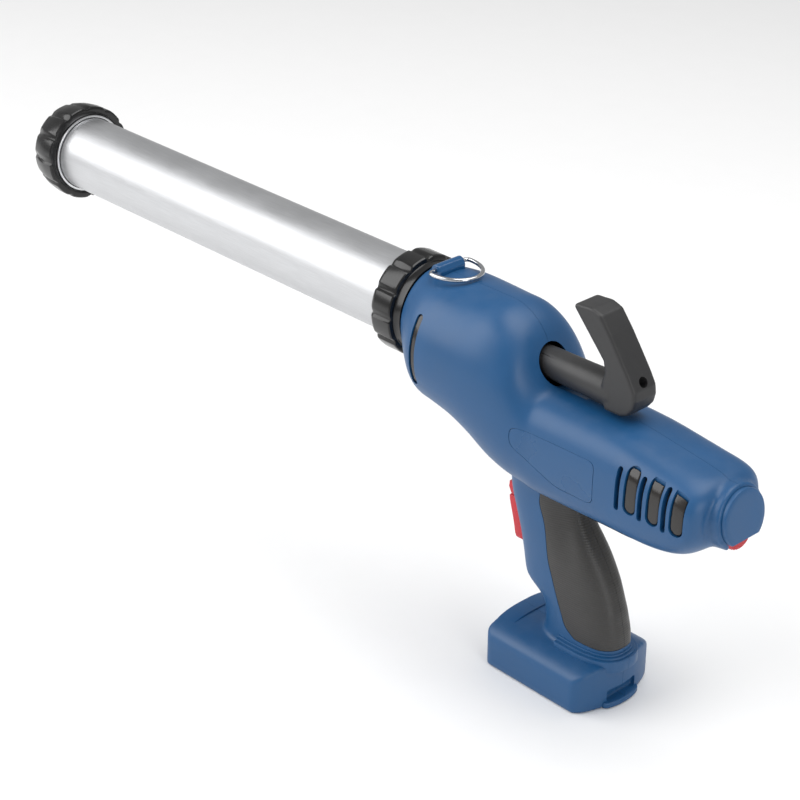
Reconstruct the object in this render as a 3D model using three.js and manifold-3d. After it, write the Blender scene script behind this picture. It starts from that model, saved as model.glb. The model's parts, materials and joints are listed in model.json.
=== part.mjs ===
// Cordless caulking gun for 600 ml sausage packs.
//
// Frame, in millimetres: +Z is up, the nozzle end points to -X, the user stands at +X.
// The origin is the middle of the foot's underside, so the foot's bottom face lies on z = 0.
// The tool is split along the y = 0 plane into a left (-Y) and a right (+Y) housing half.

import * as THREE from 'three';
import { mergeVertices } from 'three/addons/utils/BufferGeometryUtils.js';
import Module from 'manifold-3d';

const wasm = await Module();
wasm.setup();

// ---------------------------------------------------------------- driving dimensions

const GAP = 0.3;                 // clearance kept between pieces that touch
const RUNNING_CLEARANCE = 0.06;  // between a shaft and its bearing
const WALL = 3;                  // housing wall

const AXIS_Z = 228;              // height of the tube's and the push rod's axis
const TUBE_OUTER_R = 29;         // holder for packs of 50 mm diameter and up to 400 mm length
const TUBE_WALL = 1.5;
const TUBE_FRONT_X = -556;
const TUBE_REAR_X = -132;

const RING_FRONT_X = -560;       // screwed front ring
const RING_REAR_X = -532;
const RING_R = 38;
const RING_MOUTH_R = 23;         // hole that the pack's nozzle looks out of

const COLLAR_FRONT_X = -157;     // screwed collar that holds the tube to the body
const COLLAR_REAR_X = -130.5;
const COLLAR_R = 36.8;

const ROD_WIDTH = 14;            // toothed push rod
const ROD_TOP_Z = AXIS_Z + 8;
const ROD_PITCH_Z = AXIS_Z - 6.5;
const ROD_FRONT_X = -526;
const ROD_REAR_X = 38;
const GEAR_MODULE = 2.5;         // of the rack and its pinion

const DRIVE_X = -74;             // where the pinion meets the rack
const PINION_TEETH = 12;
const PINION_R = GEAR_MODULE * PINION_TEETH / 2;
const DRIVE_Z = ROD_PITCH_Z - PINION_R - GAP;
const CROWN_R = 19;              // crown gear's tooth circle
const CROWN_TEETH = 20;
const CROWN_PINION_TEETH = 8;
const CROWN_MODULE = 2 * CROWN_R / CROWN_TEETH;
const LAY_TEETH = 16;            // spur stage between planetary stage and crown gear
const OUTPUT_TEETH = 9;
const LAY_MODULE = 1.5;
const MOTOR_Z = DRIVE_Z - LAY_MODULE * (LAY_TEETH + OUTPUT_TEETH) / 2 - 0.2;
const PLANET_MODULE = 1.2;
const SUN_TEETH = 9;
const PLANET_TEETH = 12;
const RING_TEETH = SUN_TEETH + 2 * PLANET_TEETH;
const PLANET_ORBIT_R = PLANET_MODULE * (SUN_TEETH + PLANET_TEETH) / 2;

const CAP_TILT = THREE.MathUtils.degToRad(8.3);   // rear end leans back by this much
const CAP_CENTRE = [143.3, 0, 181.9];
const CAP_R = 19.2;

const FOOT_HALF_WIDTH = 37.5;
const FOOT_FRONT_X = -39.5;
const FOOT_REAR_X = 46.5;
const FOOT_BOW = 8;              // the rear face bows out by this much in the middle
const FOOT_SIDE_Z = 22;
const FOOT_TOP_Z = 34;

const HANDLE_HALF_WIDTH = 18;
const RUBBER = 2.4;              // thickness of the grip's rubber

// ---------------------------------------------------------------- solids

/** Turns a closed three.js geometry into a manifold solid. */
function solid(geometry) {
  const bare = geometry.clone();
  bare.deleteAttribute('normal');
  bare.deleteAttribute('uv');
  const merged = mergeVertices(bare, 1e-4);
  const index = merged.index.array;
  const triangles = [];
  for (let i = 0; i < index.length; i += 3) {
    const [a, b, c] = [index[i], index[i + 1], index[i + 2]];
    if (a !== b && b !== c && a !== c) triangles.push(a, b, c);
  }
  return new wasm.Manifold(new wasm.Mesh({
    numProp: 3,
    vertProperties: new Float32Array(merged.attributes.position.array),
    triVerts: new Uint32Array(triangles),
  }));
}

/** Turns a manifold solid back into a three.js geometry. */
function toGeometry(manifold) {
  const mesh = manifold.getMesh();
  const geometry = new THREE.BufferGeometry();
  geometry.setAttribute('position', new THREE.BufferAttribute(new Float32Array(mesh.vertProperties), 3));
  geometry.setIndex(new THREE.BufferAttribute(new Uint32Array(mesh.triVerts), 1));
  geometry.computeVertexNormals();
  return geometry;
}

const join = (first, ...others) => others.reduce((sum, other) => sum.add(other), first);
const cut = (first, ...others) => others.reduce((rest, other) => rest.subtract(other), first);
const both = (first, second) => first.intersect(second);

/** A box from its lowest to its highest corner. */
function block([x0, y0, z0], [x1, y1, z1]) {
  const geometry = new THREE.BoxGeometry(x1 - x0, y1 - y0, z1 - z0);
  geometry.translate((x0 + x1) / 2, (y0 + y1) / 2, (z0 + z1) / 2);
  return solid(geometry);
}

/** Turns a geometry made along +Y so that it lies along the named axis, then moves it. */
function layAlong(geometry, axis, [x, y, z]) {
  if (axis === 'x') geometry.rotateZ(-Math.PI / 2);
  if (axis === 'z') geometry.rotateX(Math.PI / 2);
  geometry.translate(x, y, z);
  return geometry;
}

/** A round bar along an axis, from coordinate `from` to `to` on it, through the point (u, v). */
function bar(radius, axis, from, to, u, v, sides = 24) {
  const geometry = new THREE.CylinderGeometry(radius, radius, to - from, sides);
  const middle = (from + to) / 2;
  const centre = { x: [middle, u, v], y: [u, middle, v], z: [u, v, middle] }[axis];
  return solid(layAlong(geometry, axis, centre));
}

/** Room for a round bar of this radius to turn in: the hole's flats stay clear of it. */
function turningRoom(radius, axis, from, to, u, v, sides = 20) {
  return bar((radius + RUNNING_CLEARANCE) / Math.cos(Math.PI / sides), axis, from, to, u, v, sides);
}

/** A solid of revolution about an X axis at height z; the profile lists [x, radius] points. */
function turned(profile, z = AXIS_Z, sides = 24) {
  const points = profile.map(([x, r]) => new THREE.Vector2(r, x));
  const geometry = new THREE.LatheGeometry(points, sides);
  geometry.rotateZ(-Math.PI / 2);
  geometry.translate(0, 0, z);
  const result = solid(geometry);
  if (result.volume() > 0) return result;
  return turned([...profile].reverse(), z, sides);
}

/** Extrudes an outline of [x, z] points across the tool, from y0 to y1. */
function acrossY(outline, y0, y1) {
  const shape = new THREE.Shape(outline.map(([x, z]) => new THREE.Vector2(x, z)));
  const geometry = new THREE.ExtrudeGeometry(shape, { depth: y1 - y0, bevelEnabled: false });
  geometry.rotateX(Math.PI / 2);
  geometry.translate(0, y1, 0);
  return solid(geometry);
}

/** Extrudes an outline of [y, z] points along the tool, from x0 to x1. */
function alongX(outline, x0, x1) {
  const shape = new THREE.Shape(outline.map(([y, z]) => new THREE.Vector2(y, z)));
  const geometry = new THREE.ExtrudeGeometry(shape, { depth: x1 - x0, bevelEnabled: false });
  geometry.rotateZ(Math.PI / 2);
  geometry.rotateY(Math.PI / 2);
  geometry.translate(x0, 0, 0);
  return solid(geometry);
}

/** Closed skin through rings of points, capped at both ends. */
function skin(rings) {
  const count = rings[0].length;
  const positions = rings.flat(2);
  const triangles = [];
  for (let ring = 0; ring + 1 < rings.length; ring += 1) {
    for (let k = 0; k < count; k += 1) {
      const a = ring * count + k;
      const b = ring * count + (k + 1) % count;
      triangles.push(a, b, b + count, a, b + count, a + count);
    }
  }
  const last = (rings.length - 1) * count;
  for (let k = 1; k + 1 < count; k += 1) {
    triangles.push(0, k + 1, k, last, last + k, last + k + 1);
  }
  const geometry = new THREE.BufferGeometry();
  geometry.setAttribute('position', new THREE.BufferAttribute(new Float32Array(positions), 3));
  geometry.setIndex(triangles);
  const result = solid(geometry);
  if (result.volume() > 0) return result;
  return skin(rings.map((ring) => [...ring].reverse()));
}

/** Superellipse value of a cosine or sine: roundness 2 is an ellipse, larger is squarer. */
const squared = (value, roundness) => Math.sign(value) * Math.abs(value) ** (2 / roundness);

/** A toothed outline round the origin, in its own two coordinates. */
function toothOutline(teeth, module, inwards = false) {
  const pitch = module * teeth / 2;
  const tip = pitch + (inwards ? -0.8 : 0.8) * module;
  const root = pitch + (inwards ? 1.1 : -1.1) * module;
  const step = 2 * Math.PI / teeth;
  const points = [];
  for (let tooth = 0; tooth < teeth; tooth += 1) {
    const corners = [[-0.27, root], [-0.12, tip], [0.12, tip], [0.27, root]];
    for (const [offset, radius] of corners) {
      const angle = (tooth + offset) * step;
      points.push([radius * Math.cos(angle), radius * Math.sin(angle)]);
    }
  }
  return points;
}

/** Turns an outline about its centre and moves it. */
function movedOutline(outline, angle, u, v) {
  const [c, s] = [Math.cos(angle), Math.sin(angle)];
  return outline.map(([a, b]) => [u + a * c - b * s, v + a * s + b * c]);
}

/** How far gear B is turned so that it meshes with gear A, which lies at angle theta + pi from it. */
function meshTurn(theta, teethA, teethB) {
  return theta + Math.PI + theta * teethA / teethB + Math.PI / teethB;
}

/** A spur gear with its axis along X. */
function gearAlongX(teeth, module, x0, x1, z, turn = 0, y = 0) {
  return alongX(movedOutline(toothOutline(teeth, module), turn, y, z), x0, x1);
}

// ---------------------------------------------------------------- outer form of the housing

// Stations along X: [x, half width, top z, widest z, bottom z, roundness]
const BODY_STATIONS = [
  [-130, 33, 261, 228, 195, 2],
  [-125, 36, 261.5, 224, 188, 2],
  [-118, 41, 262, 219, 178, 2.05],
  [-110, 46, 262, 216, 171.5, 2.1],
  [-100, 47, 262, 216, 169.5, 2.1],
  [-82, 46.5, 262, 214, 164.5, 2.1],
  [-65, 45.5, 262, 211, 155.5, 2.1],
  [-50, 44, 261.5, 207, 146, 2.2],
  [-37, 42.3, 256, 201, 142, 2.3],
  [-27, 40.6, 246, 195, 141, 2.4],
  [-19, 39, 230.5, 190, 141, 2.5],
  [-12, 37.8, 219.5, 185, 141, 2.7],
  [-4, 37, 216, 181, 141.5, 2.9],
  [25, 36.2, 215, 180, 142, 3],
  [60, 36, 214, 179, 143, 3],
  [85, 36, 211, 178, 143.5, 3],
  [103, 35.8, 208.5, 178, 146, 3],
  [117, 35.3, 206.5, 179, 151, 3],
  [126, 33.5, 204, 180, 157.5, 2.8],
  [131, 28, 200, 181, 162, 2.6],
];
const BODY_SIDES = 20;

/** The bell and motor housing as one skin, `inset` millimetres inside the outer face. */
function bodyForm(inset = 0, sides = BODY_SIDES) {
  const rings = BODY_STATIONS.map(([x, halfWidth, top, middle, bottom, roundness], place) => {
    const ring = [];
    for (let k = 0; k < sides; k += 1) {
      const angle = 2 * Math.PI * k / sides;
      const up = Math.sin(angle) >= 0 ? top - middle : middle - bottom;
      const y = (halfWidth - inset) * squared(Math.cos(angle), roundness);
      const z = middle + (up - inset) * squared(Math.sin(angle), roundness);
      ring.push([x + endShift(place, inset), y, z]);
    }
    return ring;
  });
  return skin(rings);
}

/** Moves the first and last rings of an inset skin inwards, to leave end walls. */
function endShift(place, inset) {
  if (place <= 1) return inset;
  if (place >= BODY_STATIONS.length - 2) return -inset;
  return 0;
}

// Stations up the handle: [z, front x, rear x]
const HANDLE_STATIONS = [
  [20, -10.5, 55], [45, -10.5, 55], [53, -11.5, 54], [59, -14.5, 52.5], [64, -21, 51.5], [68, -27.5, 50.5],
  [72, -30.5, 49], [85, -33, 44], [100, -36, 35.5], [112, -39.5, 27], [122, -42.5, 20], [131, -45, 15],
  [145, -46.5, 11], [160, -46.5, 11],
];
const HANDLE_ROUNDNESS = 2.7;
const HANDLE_SIDES = 16;
const CAVITY_SIDES = 12;

/** The pistol handle, `inset` millimetres inside its outer face. */
function handleForm(inset = 0, sides = HANDLE_SIDES) {
  return skin(HANDLE_STATIONS.map(([z, front, rear]) => {
    const middle = (front + rear) / 2;
    const half = (rear - front) / 2 - inset;
    const ring = [];
    for (let k = 0; k < sides; k += 1) {
      const angle = 2 * Math.PI * k / sides;
      const x = middle + half * squared(Math.cos(angle), HANDLE_ROUNDNESS);
      const y = (HANDLE_HALF_WIDTH - inset) * squared(Math.sin(angle), HANDLE_ROUNDNESS);
      ring.push([x, y, z]);
    }
    return ring;
  }));
}

/** The foot that a slide-on battery fits under: an arched block with a bowed rear face. */
function footForm(inset = 0) {
  const half = FOOT_HALF_WIDTH - inset;
  const arch = [[-half, 0], [half, 0]];
  const steps = 10;
  for (let k = 0; k <= steps; k += 1) {
    const angle = Math.PI * k / steps;
    const rise = (FOOT_TOP_Z - FOOT_SIDE_Z) * squared(Math.sin(angle), 2.2);
    arch.push([half * squared(Math.cos(angle), 2.6), FOOT_SIDE_Z - inset + rise]);
  }
  const plan = new THREE.Shape();
  const front = FOOT_FRONT_X + inset;
  const rear = FOOT_REAR_X - inset;
  const corner = 5;
  plan.moveTo(front, -half + corner);
  plan.quadraticCurveTo(front, -half, front + corner, -half);
  plan.lineTo(rear - corner, -half);
  plan.quadraticCurveTo(rear, -half, rear + 1.5, -half + corner);
  plan.quadraticCurveTo(rear + 2 * FOOT_BOW - 1.5, 0, rear + 1.5, half - corner);
  plan.quadraticCurveTo(rear, half, rear - corner, half);
  plan.lineTo(front + corner, half);
  plan.quadraticCurveTo(front, half, front, half - corner);
  const geometry = new THREE.ExtrudeGeometry(plan, { depth: 60, bevelEnabled: false, curveSegments: 4 });
  return both(alongX(arch, FOOT_FRONT_X - 10, FOOT_REAR_X + 30), solid(geometry));
}

/** The D-shaped lip under the foot's rear face, with the slot above it. */
function footLip() {
  const outline = new THREE.Shape();
  outline.moveTo(40, -17);
  outline.lineTo(54, -17);
  outline.quadraticCurveTo(64, 0, 54, 17);
  outline.lineTo(40, 17);
  return solid(new THREE.ExtrudeGeometry(outline, { depth: 4, bevelEnabled: false, curveSegments: 8 }));
}

/** A round bar that leans with the rear end; `from` and `to` are measured from the cap's face. */
function leaningBar(radius, from, to, sides = 28) {
  const geometry = new THREE.CylinderGeometry(radius, radius, to - from, sides);
  geometry.rotateZ(-Math.PI / 2);
  geometry.translate((from + to) / 2, 0, 0);
  geometry.rotateY(-CAP_TILT);
  geometry.translate(...CAP_CENTRE);
  return solid(geometry);
}

// ---------------------------------------------------------------- openings cut in the housing

const STEM_R = 11.5;             // round stem of the pull hook, at its thick end
const STEM_HOLE_R = 13;
const TRIGGER_HALF_WIDTH = 7.5;
const BATTERY_BAY = { halfWidth: 28, railHalfWidth: 24, top: 18, railTop: 5, front: -45, rear: 36 };

const BELL_SLOT = { x0: -107.5, x1: -102, z0: 196, z1: 244 };
const VENT_PAD = { first: 76.2, step: 18.4, width: 8.7, z0: 172, z1: 203, count: 3 };
const VENT_SLOT = { first: 68.3, step: 18.8, width: 3.8, z0: 171, z1: 201, count: 3 };
const PAD_DEPTH = 2.2;
const PAD_FLOOR_Y = 29.5;
const PLATE_THICKNESS = 0.5;
const LABEL = { x0: -20, x1: 50, z0: 165, z1: 195 };

/** The battery bay: wide above, narrower at the bottom, so that two rails stand along its sides. */
function batteryBay() {
  const { halfWidth, railHalfWidth, top, railTop, front, rear } = BATTERY_BAY;
  return join(
    block([front, -halfWidth, railTop], [rear, halfWidth, top]),
    block([front, -railHalfWidth, -1], [rear, railHalfWidth, railTop + 1]),
  );
}

/** Region of the handle that the grip's rubber covers, seen from the side. */
function rubberOutline(grow = 0) {
  const g = grow;
  return [
    [-9 - g, 147], [-10 - g, 134], [-5 - g, 118], [-1 - g, 95], [3.5 - g, 82], [8 - g, 70],
    [13 - g, 58], [17.5 - g, 49 - g], [26, 43 - g], [45, 42 - g], [75, 44 - g], [75, 147],
  ];
}

/** Shallow pocket or pad in the side wall, between two heights and two stations. */
function sideBand(x0, x1, z0, z1, side, floor = 12) {
  const [y0, y1] = side < 0 ? [-60, -floor] : [floor, 60];
  return block([x0, y0, z0], [x1, y1, z1]);
}

const bodyOuter = bodyForm(0);
const bodyPadFloor = bodyForm(PAD_DEPTH);
const handleOuter = handleForm(0);
const handleRubberFloor = handleForm(RUBBER);
const handlePocketFloor = handleForm(RUBBER + GAP);
const neck = leaningBar(22.5, -22, -4.5);

/** Everything the two housing halves enclose. */
function housingCavity() {
  const belly = bodyForm(WALL + 1.5, CAVITY_SIDES);
  const handleSpace = cut(handleForm(RUBBER + 2.8, CAVITY_SIDES), block([-60, -40, 0], [80, 40, 24]));
  const neckSpace = leaningBar(19.5, -30, -4, CAVITY_SIDES);
  return join(belly, handleSpace, neckSpace);
}

/** The whole housing before it is split. */
function housingWhole() {
  const handleShell = cut(
    handleOuter,
    cut(both(acrossY(rubberOutline(GAP), -40, 40), handleForm(-1)), handlePocketFloor, bodyOuter),
  );
  let shell = join(bodyOuter, handleShell, footForm(), footLip(), neck);
  shell = cut(shell, housingCavity(), batteryBay());
  shell = cut(
    shell,
    bar(TUBE_OUTER_R + 1, 'x', -140, -120, 0, AXIS_Z),
    bar(STEM_HOLE_R, 'x', -60, 60, 0, AXIS_Z),
    triggerWindow(),
    block([-16, -6, 10], [-6, 6, 26]),
    leaningBar(19.5, -12, 2),
    block([128, -13, 150], [150, 13, 167]),
    block([54, -13, 6], [62, 13, 12]),
  );
  return shell;
}

/** Window in the handle's front wall for the trigger and its lock. */
function triggerWindow() {
  return block([-60, -TRIGGER_HALF_WIDTH - 0.5, 88], [-20, TRIGGER_HALF_WIDTH + 0.5, 134]);
}

/** Pockets for the rubber pads and the open slots, on one side. */
function sidePockets(side) {
  const pockets = [];
  for (let k = 0; k < VENT_PAD.count; k += 1) {
    const x = VENT_PAD.first + k * VENT_PAD.step;
    pockets.push(sideBand(
      x - GAP, x + VENT_PAD.width + GAP, VENT_PAD.z0 - GAP, VENT_PAD.z1 + GAP, side, PAD_FLOOR_Y - GAP,
    ));
  }
  for (let k = 0; k < VENT_SLOT.count; k += 1) {
    const x = VENT_SLOT.first + k * VENT_SLOT.step;
    pockets.push(sideBand(x, x + VENT_SLOT.width, VENT_SLOT.z0, VENT_SLOT.z1, side));
  }
  const slot = BELL_SLOT;
  pockets.push(sideBand(slot.x0 - GAP, slot.x1 + GAP, slot.z0 - GAP, slot.z1 + GAP, side));
  return pockets;
}

const SCREWS = [[-118, 184], [-112, 254], [12, 152], [22, 60], [-25, 27]];   // [x, z] on the right face
const SCREW_SIDES = 8;
const SCREW_HEAD_R = 3;
const SCREW_HEAD_HEIGHT = 2.5;
const SCREW_DRIVE_R = 1.2;       // hexagon recess in the head
const SCREW_SHANK_R = 1.5;
const SCREW_FACE_Y = 12;         // the heads sit at the bottom of bores this far from the split

/** One of the two housing halves. side -1 is the left one. */
function housingHalf(whole, side) {
  const [y0, y1] = side < 0 ? [-80, -GAP / 2] : [GAP / 2, 80];
  let half = both(whole, block([-160, y0, -5], [180, y1, 300]));
  half = cut(half, ...sidePockets(side));
  for (const [x, z] of SCREWS) half = withScrewBoss(half, x, z, side);
  return half;
}

/** Adds a screw boss inside a half and bores it. */
function withScrewBoss(half, x, z, side) {
  const wall = side < 0 ? -30 : 30;
  const boss = both(
    bar(5.5, 'y', Math.min(wall, side * GAP / 2), Math.max(wall, side * GAP / 2), x, z, 10),
    join(bodyForm(1), handlePocketFloor, footForm(1)),
  );
  const bored = join(half, boss);
  if (side < 0) return cut(bored, bar(SCREW_SHANK_R + GAP, 'y', -SCREW_FACE_Y - 1, 1, x, z, SCREW_SIDES));
  return cut(
    bored,
    bar(SCREW_SHANK_R + GAP, 'y', -1, 60, x, z, SCREW_SIDES),
    bar(SCREW_HEAD_R + GAP, 'y', SCREW_FACE_Y - GAP, 60, x, z, SCREW_SIDES),
  );
}

/** A housing screw: its head in the right half, its shank reaching into the left half. */
function housingScrew(x, z) {
  const top = SCREW_FACE_Y + SCREW_HEAD_HEIGHT;
  return cut(
    join(
      bar(SCREW_HEAD_R, 'y', SCREW_FACE_Y, top, x, z, SCREW_SIDES),
      bar(SCREW_SHANK_R, 'y', -SCREW_FACE_Y, SCREW_FACE_Y + 1, x, z, SCREW_SIDES),
    ),
    bar(SCREW_DRIVE_R, 'y', top - SCREW_HEAD_HEIGHT / 2, top + 1, x, z, 6),
  );
}

// ---------------------------------------------------------------- trim on the housing

function gripRubber(side) {
  const [y0, y1] = side < 0 ? [-40, -GAP / 2] : [GAP / 2, 40];
  const region = both(acrossY(rubberOutline(), y0, y1), handleOuter);
  const footClear = join(footForm(-GAP), bodyForm(-GAP));
  return cut(region, handleRubberFloor, footClear);
}

function ventPad(index, side) {
  const x = VENT_PAD.first + index * VENT_PAD.step;
  const band = sideBand(x, x + VENT_PAD.width, VENT_PAD.z0, VENT_PAD.z1, side, PAD_FLOOR_Y);
  return both(band, bodyForm(-0.6));
}

function bellPad(side) {
  const band = sideBand(BELL_SLOT.x0, BELL_SLOT.x1, BELL_SLOT.z0, BELL_SLOT.z1, side);
  return cut(both(band, bodyOuter), bodyPadFloor);
}

function namePlate(side) {
  const band = sideBand(LABEL.x0, LABEL.x1, LABEL.z0, LABEL.z1, side);
  return cut(both(band, bodyForm(-GAP - PLATE_THICKNESS)), bodyForm(-GAP));
}

// ---------------------------------------------------------------- tube, ring and collar

const LOBES = 12;

/** Shallow grip grooves cut round a ring between two stations. */
function gripGrooves(ring, x0, x1, radius) {
  let result = ring;
  for (let k = 0; k < LOBES; k += 1) {
    const angle = 2 * Math.PI * (k + 0.5) / LOBES;
    const y = (radius + 2.2) * Math.cos(angle);
    const z = AXIS_Z + (radius + 2.2) * Math.sin(angle);
    result = cut(result, bar(4, 'x', x0, x1, y, z, 6));
  }
  return result;
}

function frontRing() {
  const ring = turned([
    [RING_FRONT_X, RING_MOUTH_R], [RING_FRONT_X, 32], [RING_FRONT_X + 3, 35], [RING_REAR_X - 8, RING_R],
    [RING_REAR_X - 1, RING_R], [RING_REAR_X, RING_R - 1], [RING_REAR_X, 32], [TUBE_FRONT_X - GAP, 32],
    [TUBE_FRONT_X - GAP, RING_MOUTH_R], [RING_FRONT_X, RING_MOUTH_R],
  ]);
  return gripGrooves(ring, RING_FRONT_X - 1, RING_REAR_X - 8, RING_R);
}

function frontSleeve() {
  const inner = TUBE_OUTER_R + 2 * GAP;
  return turned([
    [TUBE_FRONT_X, inner], [TUBE_FRONT_X, 31.4], [RING_REAR_X + 1, 31.4], [RING_REAR_X + 1, inner],
    [TUBE_FRONT_X, inner],
  ]);
}

function cartridgeTube() {
  const inner = TUBE_OUTER_R - TUBE_WALL;
  return turned([
    [TUBE_FRONT_X, inner], [TUBE_FRONT_X, TUBE_OUTER_R], [TUBE_REAR_X, TUBE_OUTER_R],
    [TUBE_REAR_X, inner], [TUBE_FRONT_X, inner],
  ]);
}

function retainingCollar() {
  const inner = TUBE_OUTER_R + 2 * GAP;
  const ring = turned([
    [COLLAR_FRONT_X, inner], [COLLAR_FRONT_X, COLLAR_R - 2], [COLLAR_FRONT_X + 2, COLLAR_R],
    [COLLAR_REAR_X - 6, COLLAR_R], [COLLAR_REAR_X - 5, 33], [COLLAR_REAR_X, 33],
    [COLLAR_REAR_X, inner], [COLLAR_FRONT_X, inner],
  ]);
  return gripGrooves(ring, COLLAR_FRONT_X - 1, COLLAR_REAR_X - 7, COLLAR_R);
}

/** Flange inside the bell's mouth that the tube butts against and the rod runs through. */
function tubeSeat() {
  const front = TUBE_REAR_X + 0.4;
  const rear = TUBE_REAR_X + 5;
  return turned([
    [front, STEM_HOLE_R], [front, TUBE_OUTER_R], [rear, TUBE_OUTER_R], [rear, STEM_HOLE_R], [front, STEM_HOLE_R],
  ]);
}

// ---------------------------------------------------------------- rod, piston and hook

const ROD_STUD_R = 5;            // threaded stud that carries the piston
const PISTON_BORE_R = ROD_STUD_R + GAP;
const PISTON_R = 25.5;
const PISTON_THICKNESS = 5;
const NUT_R = 9;
const NUT_HEIGHT = 6;

/** The rack's side outline: teeth along the bottom edge over the driven length. */
function pushRod() {
  const pitch = Math.PI * GEAR_MODULE;
  const tip = ROD_PITCH_Z - 0.8 * GEAR_MODULE;
  const root = ROD_PITCH_Z + 1.1 * GEAR_MODULE;
  const outline = [[ROD_REAR_X, root], [ROD_REAR_X, ROD_TOP_Z], [ROD_FRONT_X, ROD_TOP_Z], [ROD_FRONT_X, root]];
  const plainEnd = 16;
  const teethInFront = Math.floor((DRIVE_X - ROD_FRONT_X - plainEnd) / pitch);
  const teethBehind = 4;
  for (let tooth = -teethInFront; tooth <= teethBehind; tooth += 1) {
    const x = DRIVE_X + (tooth + 0.5) * pitch;
    for (const [offset, z] of [[-0.27, root], [-0.12, tip], [0.12, tip], [0.27, root]]) {
      outline.push([x + offset * pitch, z]);
    }
  }
  return join(
    acrossY(outline, -ROD_WIDTH / 2, ROD_WIDTH / 2),
    bar(ROD_STUD_R, 'x', ROD_FRONT_X - 14, ROD_FRONT_X + 1, 0, AXIS_Z, 20),
  );
}

function pistonPlate() {
  const front = ROD_FRONT_X - PISTON_THICKNESS;
  const rear = ROD_FRONT_X - GAP;
  return turned([
    [front, PISTON_BORE_R], [front, PISTON_R], [rear, PISTON_R], [rear, PISTON_BORE_R], [front, PISTON_BORE_R],
  ]);
}

function pistonCup() {
  const front = ROD_FRONT_X - PISTON_THICKNESS - 4;
  const back = ROD_FRONT_X - PISTON_THICKNESS - GAP;
  const lip = ROD_FRONT_X - 2;
  return turned([
    [front, PISTON_BORE_R], [front, PISTON_R + 0.5], [lip, PISTON_R + 1.6], [lip, PISTON_R + 0.4],
    [back, PISTON_R + GAP], [back, PISTON_BORE_R], [front, PISTON_BORE_R],
  ]);
}

function pistonNut() {
  const middle = [ROD_FRONT_X - 12.3, 0, AXIS_Z];
  const hexagon = solid(layAlong(new THREE.CylinderGeometry(NUT_R, NUT_R, NUT_HEIGHT, 6), 'x', middle));
  return cut(hexagon, bar(PISTON_BORE_R, 'x', ROD_FRONT_X - 20, ROD_FRONT_X - 5, 0, AXIS_Z, 20));
}

const HOOK_HALF_WIDTH = 11;
const HOOK_OUTLINE = [
  [4.5, 281], [7, 283], [20, 284], [28, 281.5], [37, 270.5], [46, 258], [54, 246.5], [58.5, 239], [59.5, 232.5],
  [58, 226], [54, 221], [48, 218.3], [34, 218], [32, 228], [31, 238], [33, 244], [31.5, 251.5],
];
const STEM_FRONT_X = -24;
const HOOK_SCREW_R = 3.2;
const HOOK_SCREW_LENGTH = 8;
const HOOK_BORE_DEPTH = 17;
const HOOK_BORE_MOUTH = new THREE.Vector3(56.7, 0, 242.5);
const HOOK_BORE_END = new THREE.Vector3(40, 0, 231.5);

/** A bar along the slanting bore that runs down from the hook's rear face to the rod's end. */
function slantingBar(radius, from, to) {
  const direction = HOOK_BORE_END.clone().sub(HOOK_BORE_MOUTH).normalize();
  const geometry = new THREE.CylinderGeometry(radius, radius, to - from, 20);
  geometry.applyQuaternion(new THREE.Quaternion().setFromUnitVectors(new THREE.Vector3(0, 1, 0), direction));
  const middle = HOOK_BORE_MOUTH.clone().addScaledVector(direction, (from + to) / 2);
  return solid(geometry.translate(middle.x, middle.y, middle.z));
}

/** The hook handle: a round stem and a blade that leans up and forward. */
function pullHook() {
  const blade = acrossY(HOOK_OUTLINE, -HOOK_HALF_WIDTH, HOOK_HALF_WIDTH);
  const stem = turned([
    [STEM_FRONT_X, 0], [STEM_FRONT_X, STEM_R - 1.2], [28, STEM_R], [ROD_REAR_X, STEM_R], [ROD_REAR_X, 0],
  ], AXIS_Z, 20);
  const halfSocket = ROD_WIDTH / 2 + GAP;
  const socket = block(
    [STEM_FRONT_X - 6, -halfSocket, ROD_PITCH_Z - 2],
    [ROD_REAR_X + GAP, halfSocket, ROD_TOP_Z + GAP],
  );
  return cut(join(blade, stem), socket, slantingBar(HOOK_SCREW_R + 0.4, -10, HOOK_BORE_DEPTH));
}

/** The screw in the hook's rear hole that holds it to the rod. */
function hookScrew() {
  return slantingBar(HOOK_SCREW_R, HOOK_BORE_DEPTH - GAP - HOOK_SCREW_LENGTH, HOOK_BORE_DEPTH - GAP);
}

// ---------------------------------------------------------------- D-ring

const LUG_X = -118;
const LUG_Z = 264.3;
const LUG_R = 4.2;
const WIRE_R = 1.5;
const D_RING_HALF_WIDTH = 18;
const D_RING_LENGTH = 27;

function ringLug() {
  const barrel = join(
    bar(LUG_R, 'y', -12, 12, LUG_X, LUG_Z, 20),
    block([LUG_X - LUG_R, -12, 258], [LUG_X + LUG_R, 12, LUG_Z]),
  );
  return cut(barrel, bar(WIRE_R + 0.1, 'y', -20, 20, LUG_X, LUG_Z, 16), bodyForm(-GAP));
}

function dRing() {
  const w = D_RING_HALF_WIDTH;
  const path = new THREE.CurvePath();
  const point = (x, y) => new THREE.Vector3(LUG_X + x, y, LUG_Z);
  const corner = 4;
  path.add(new THREE.LineCurve3(point(0, -10), point(0, -w + corner)));
  path.add(new THREE.QuadraticBezierCurve3(point(0, -w + corner), point(0, -w), point(corner, -w)));
  path.add(new THREE.CubicBezierCurve3(
    point(corner, -w), point(D_RING_LENGTH * 1.25, -w), point(D_RING_LENGTH * 1.25, w), point(corner, w),
  ));
  path.add(new THREE.QuadraticBezierCurve3(point(corner, w), point(0, w), point(0, w - corner)));
  path.add(new THREE.LineCurve3(point(0, w - corner), point(0, 10)));
  const section = new THREE.Shape();
  section.absarc(0, 0, WIRE_R, 0, 2 * Math.PI);
  const wire = new THREE.ExtrudeGeometry(section, { extrudePath: path, steps: 30, curveSegments: 3 });
  return join(solid(wire), bar(WIRE_R - 0.05, 'y', -10.2, 10.2, LUG_X, LUG_Z, 12));
}

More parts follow.
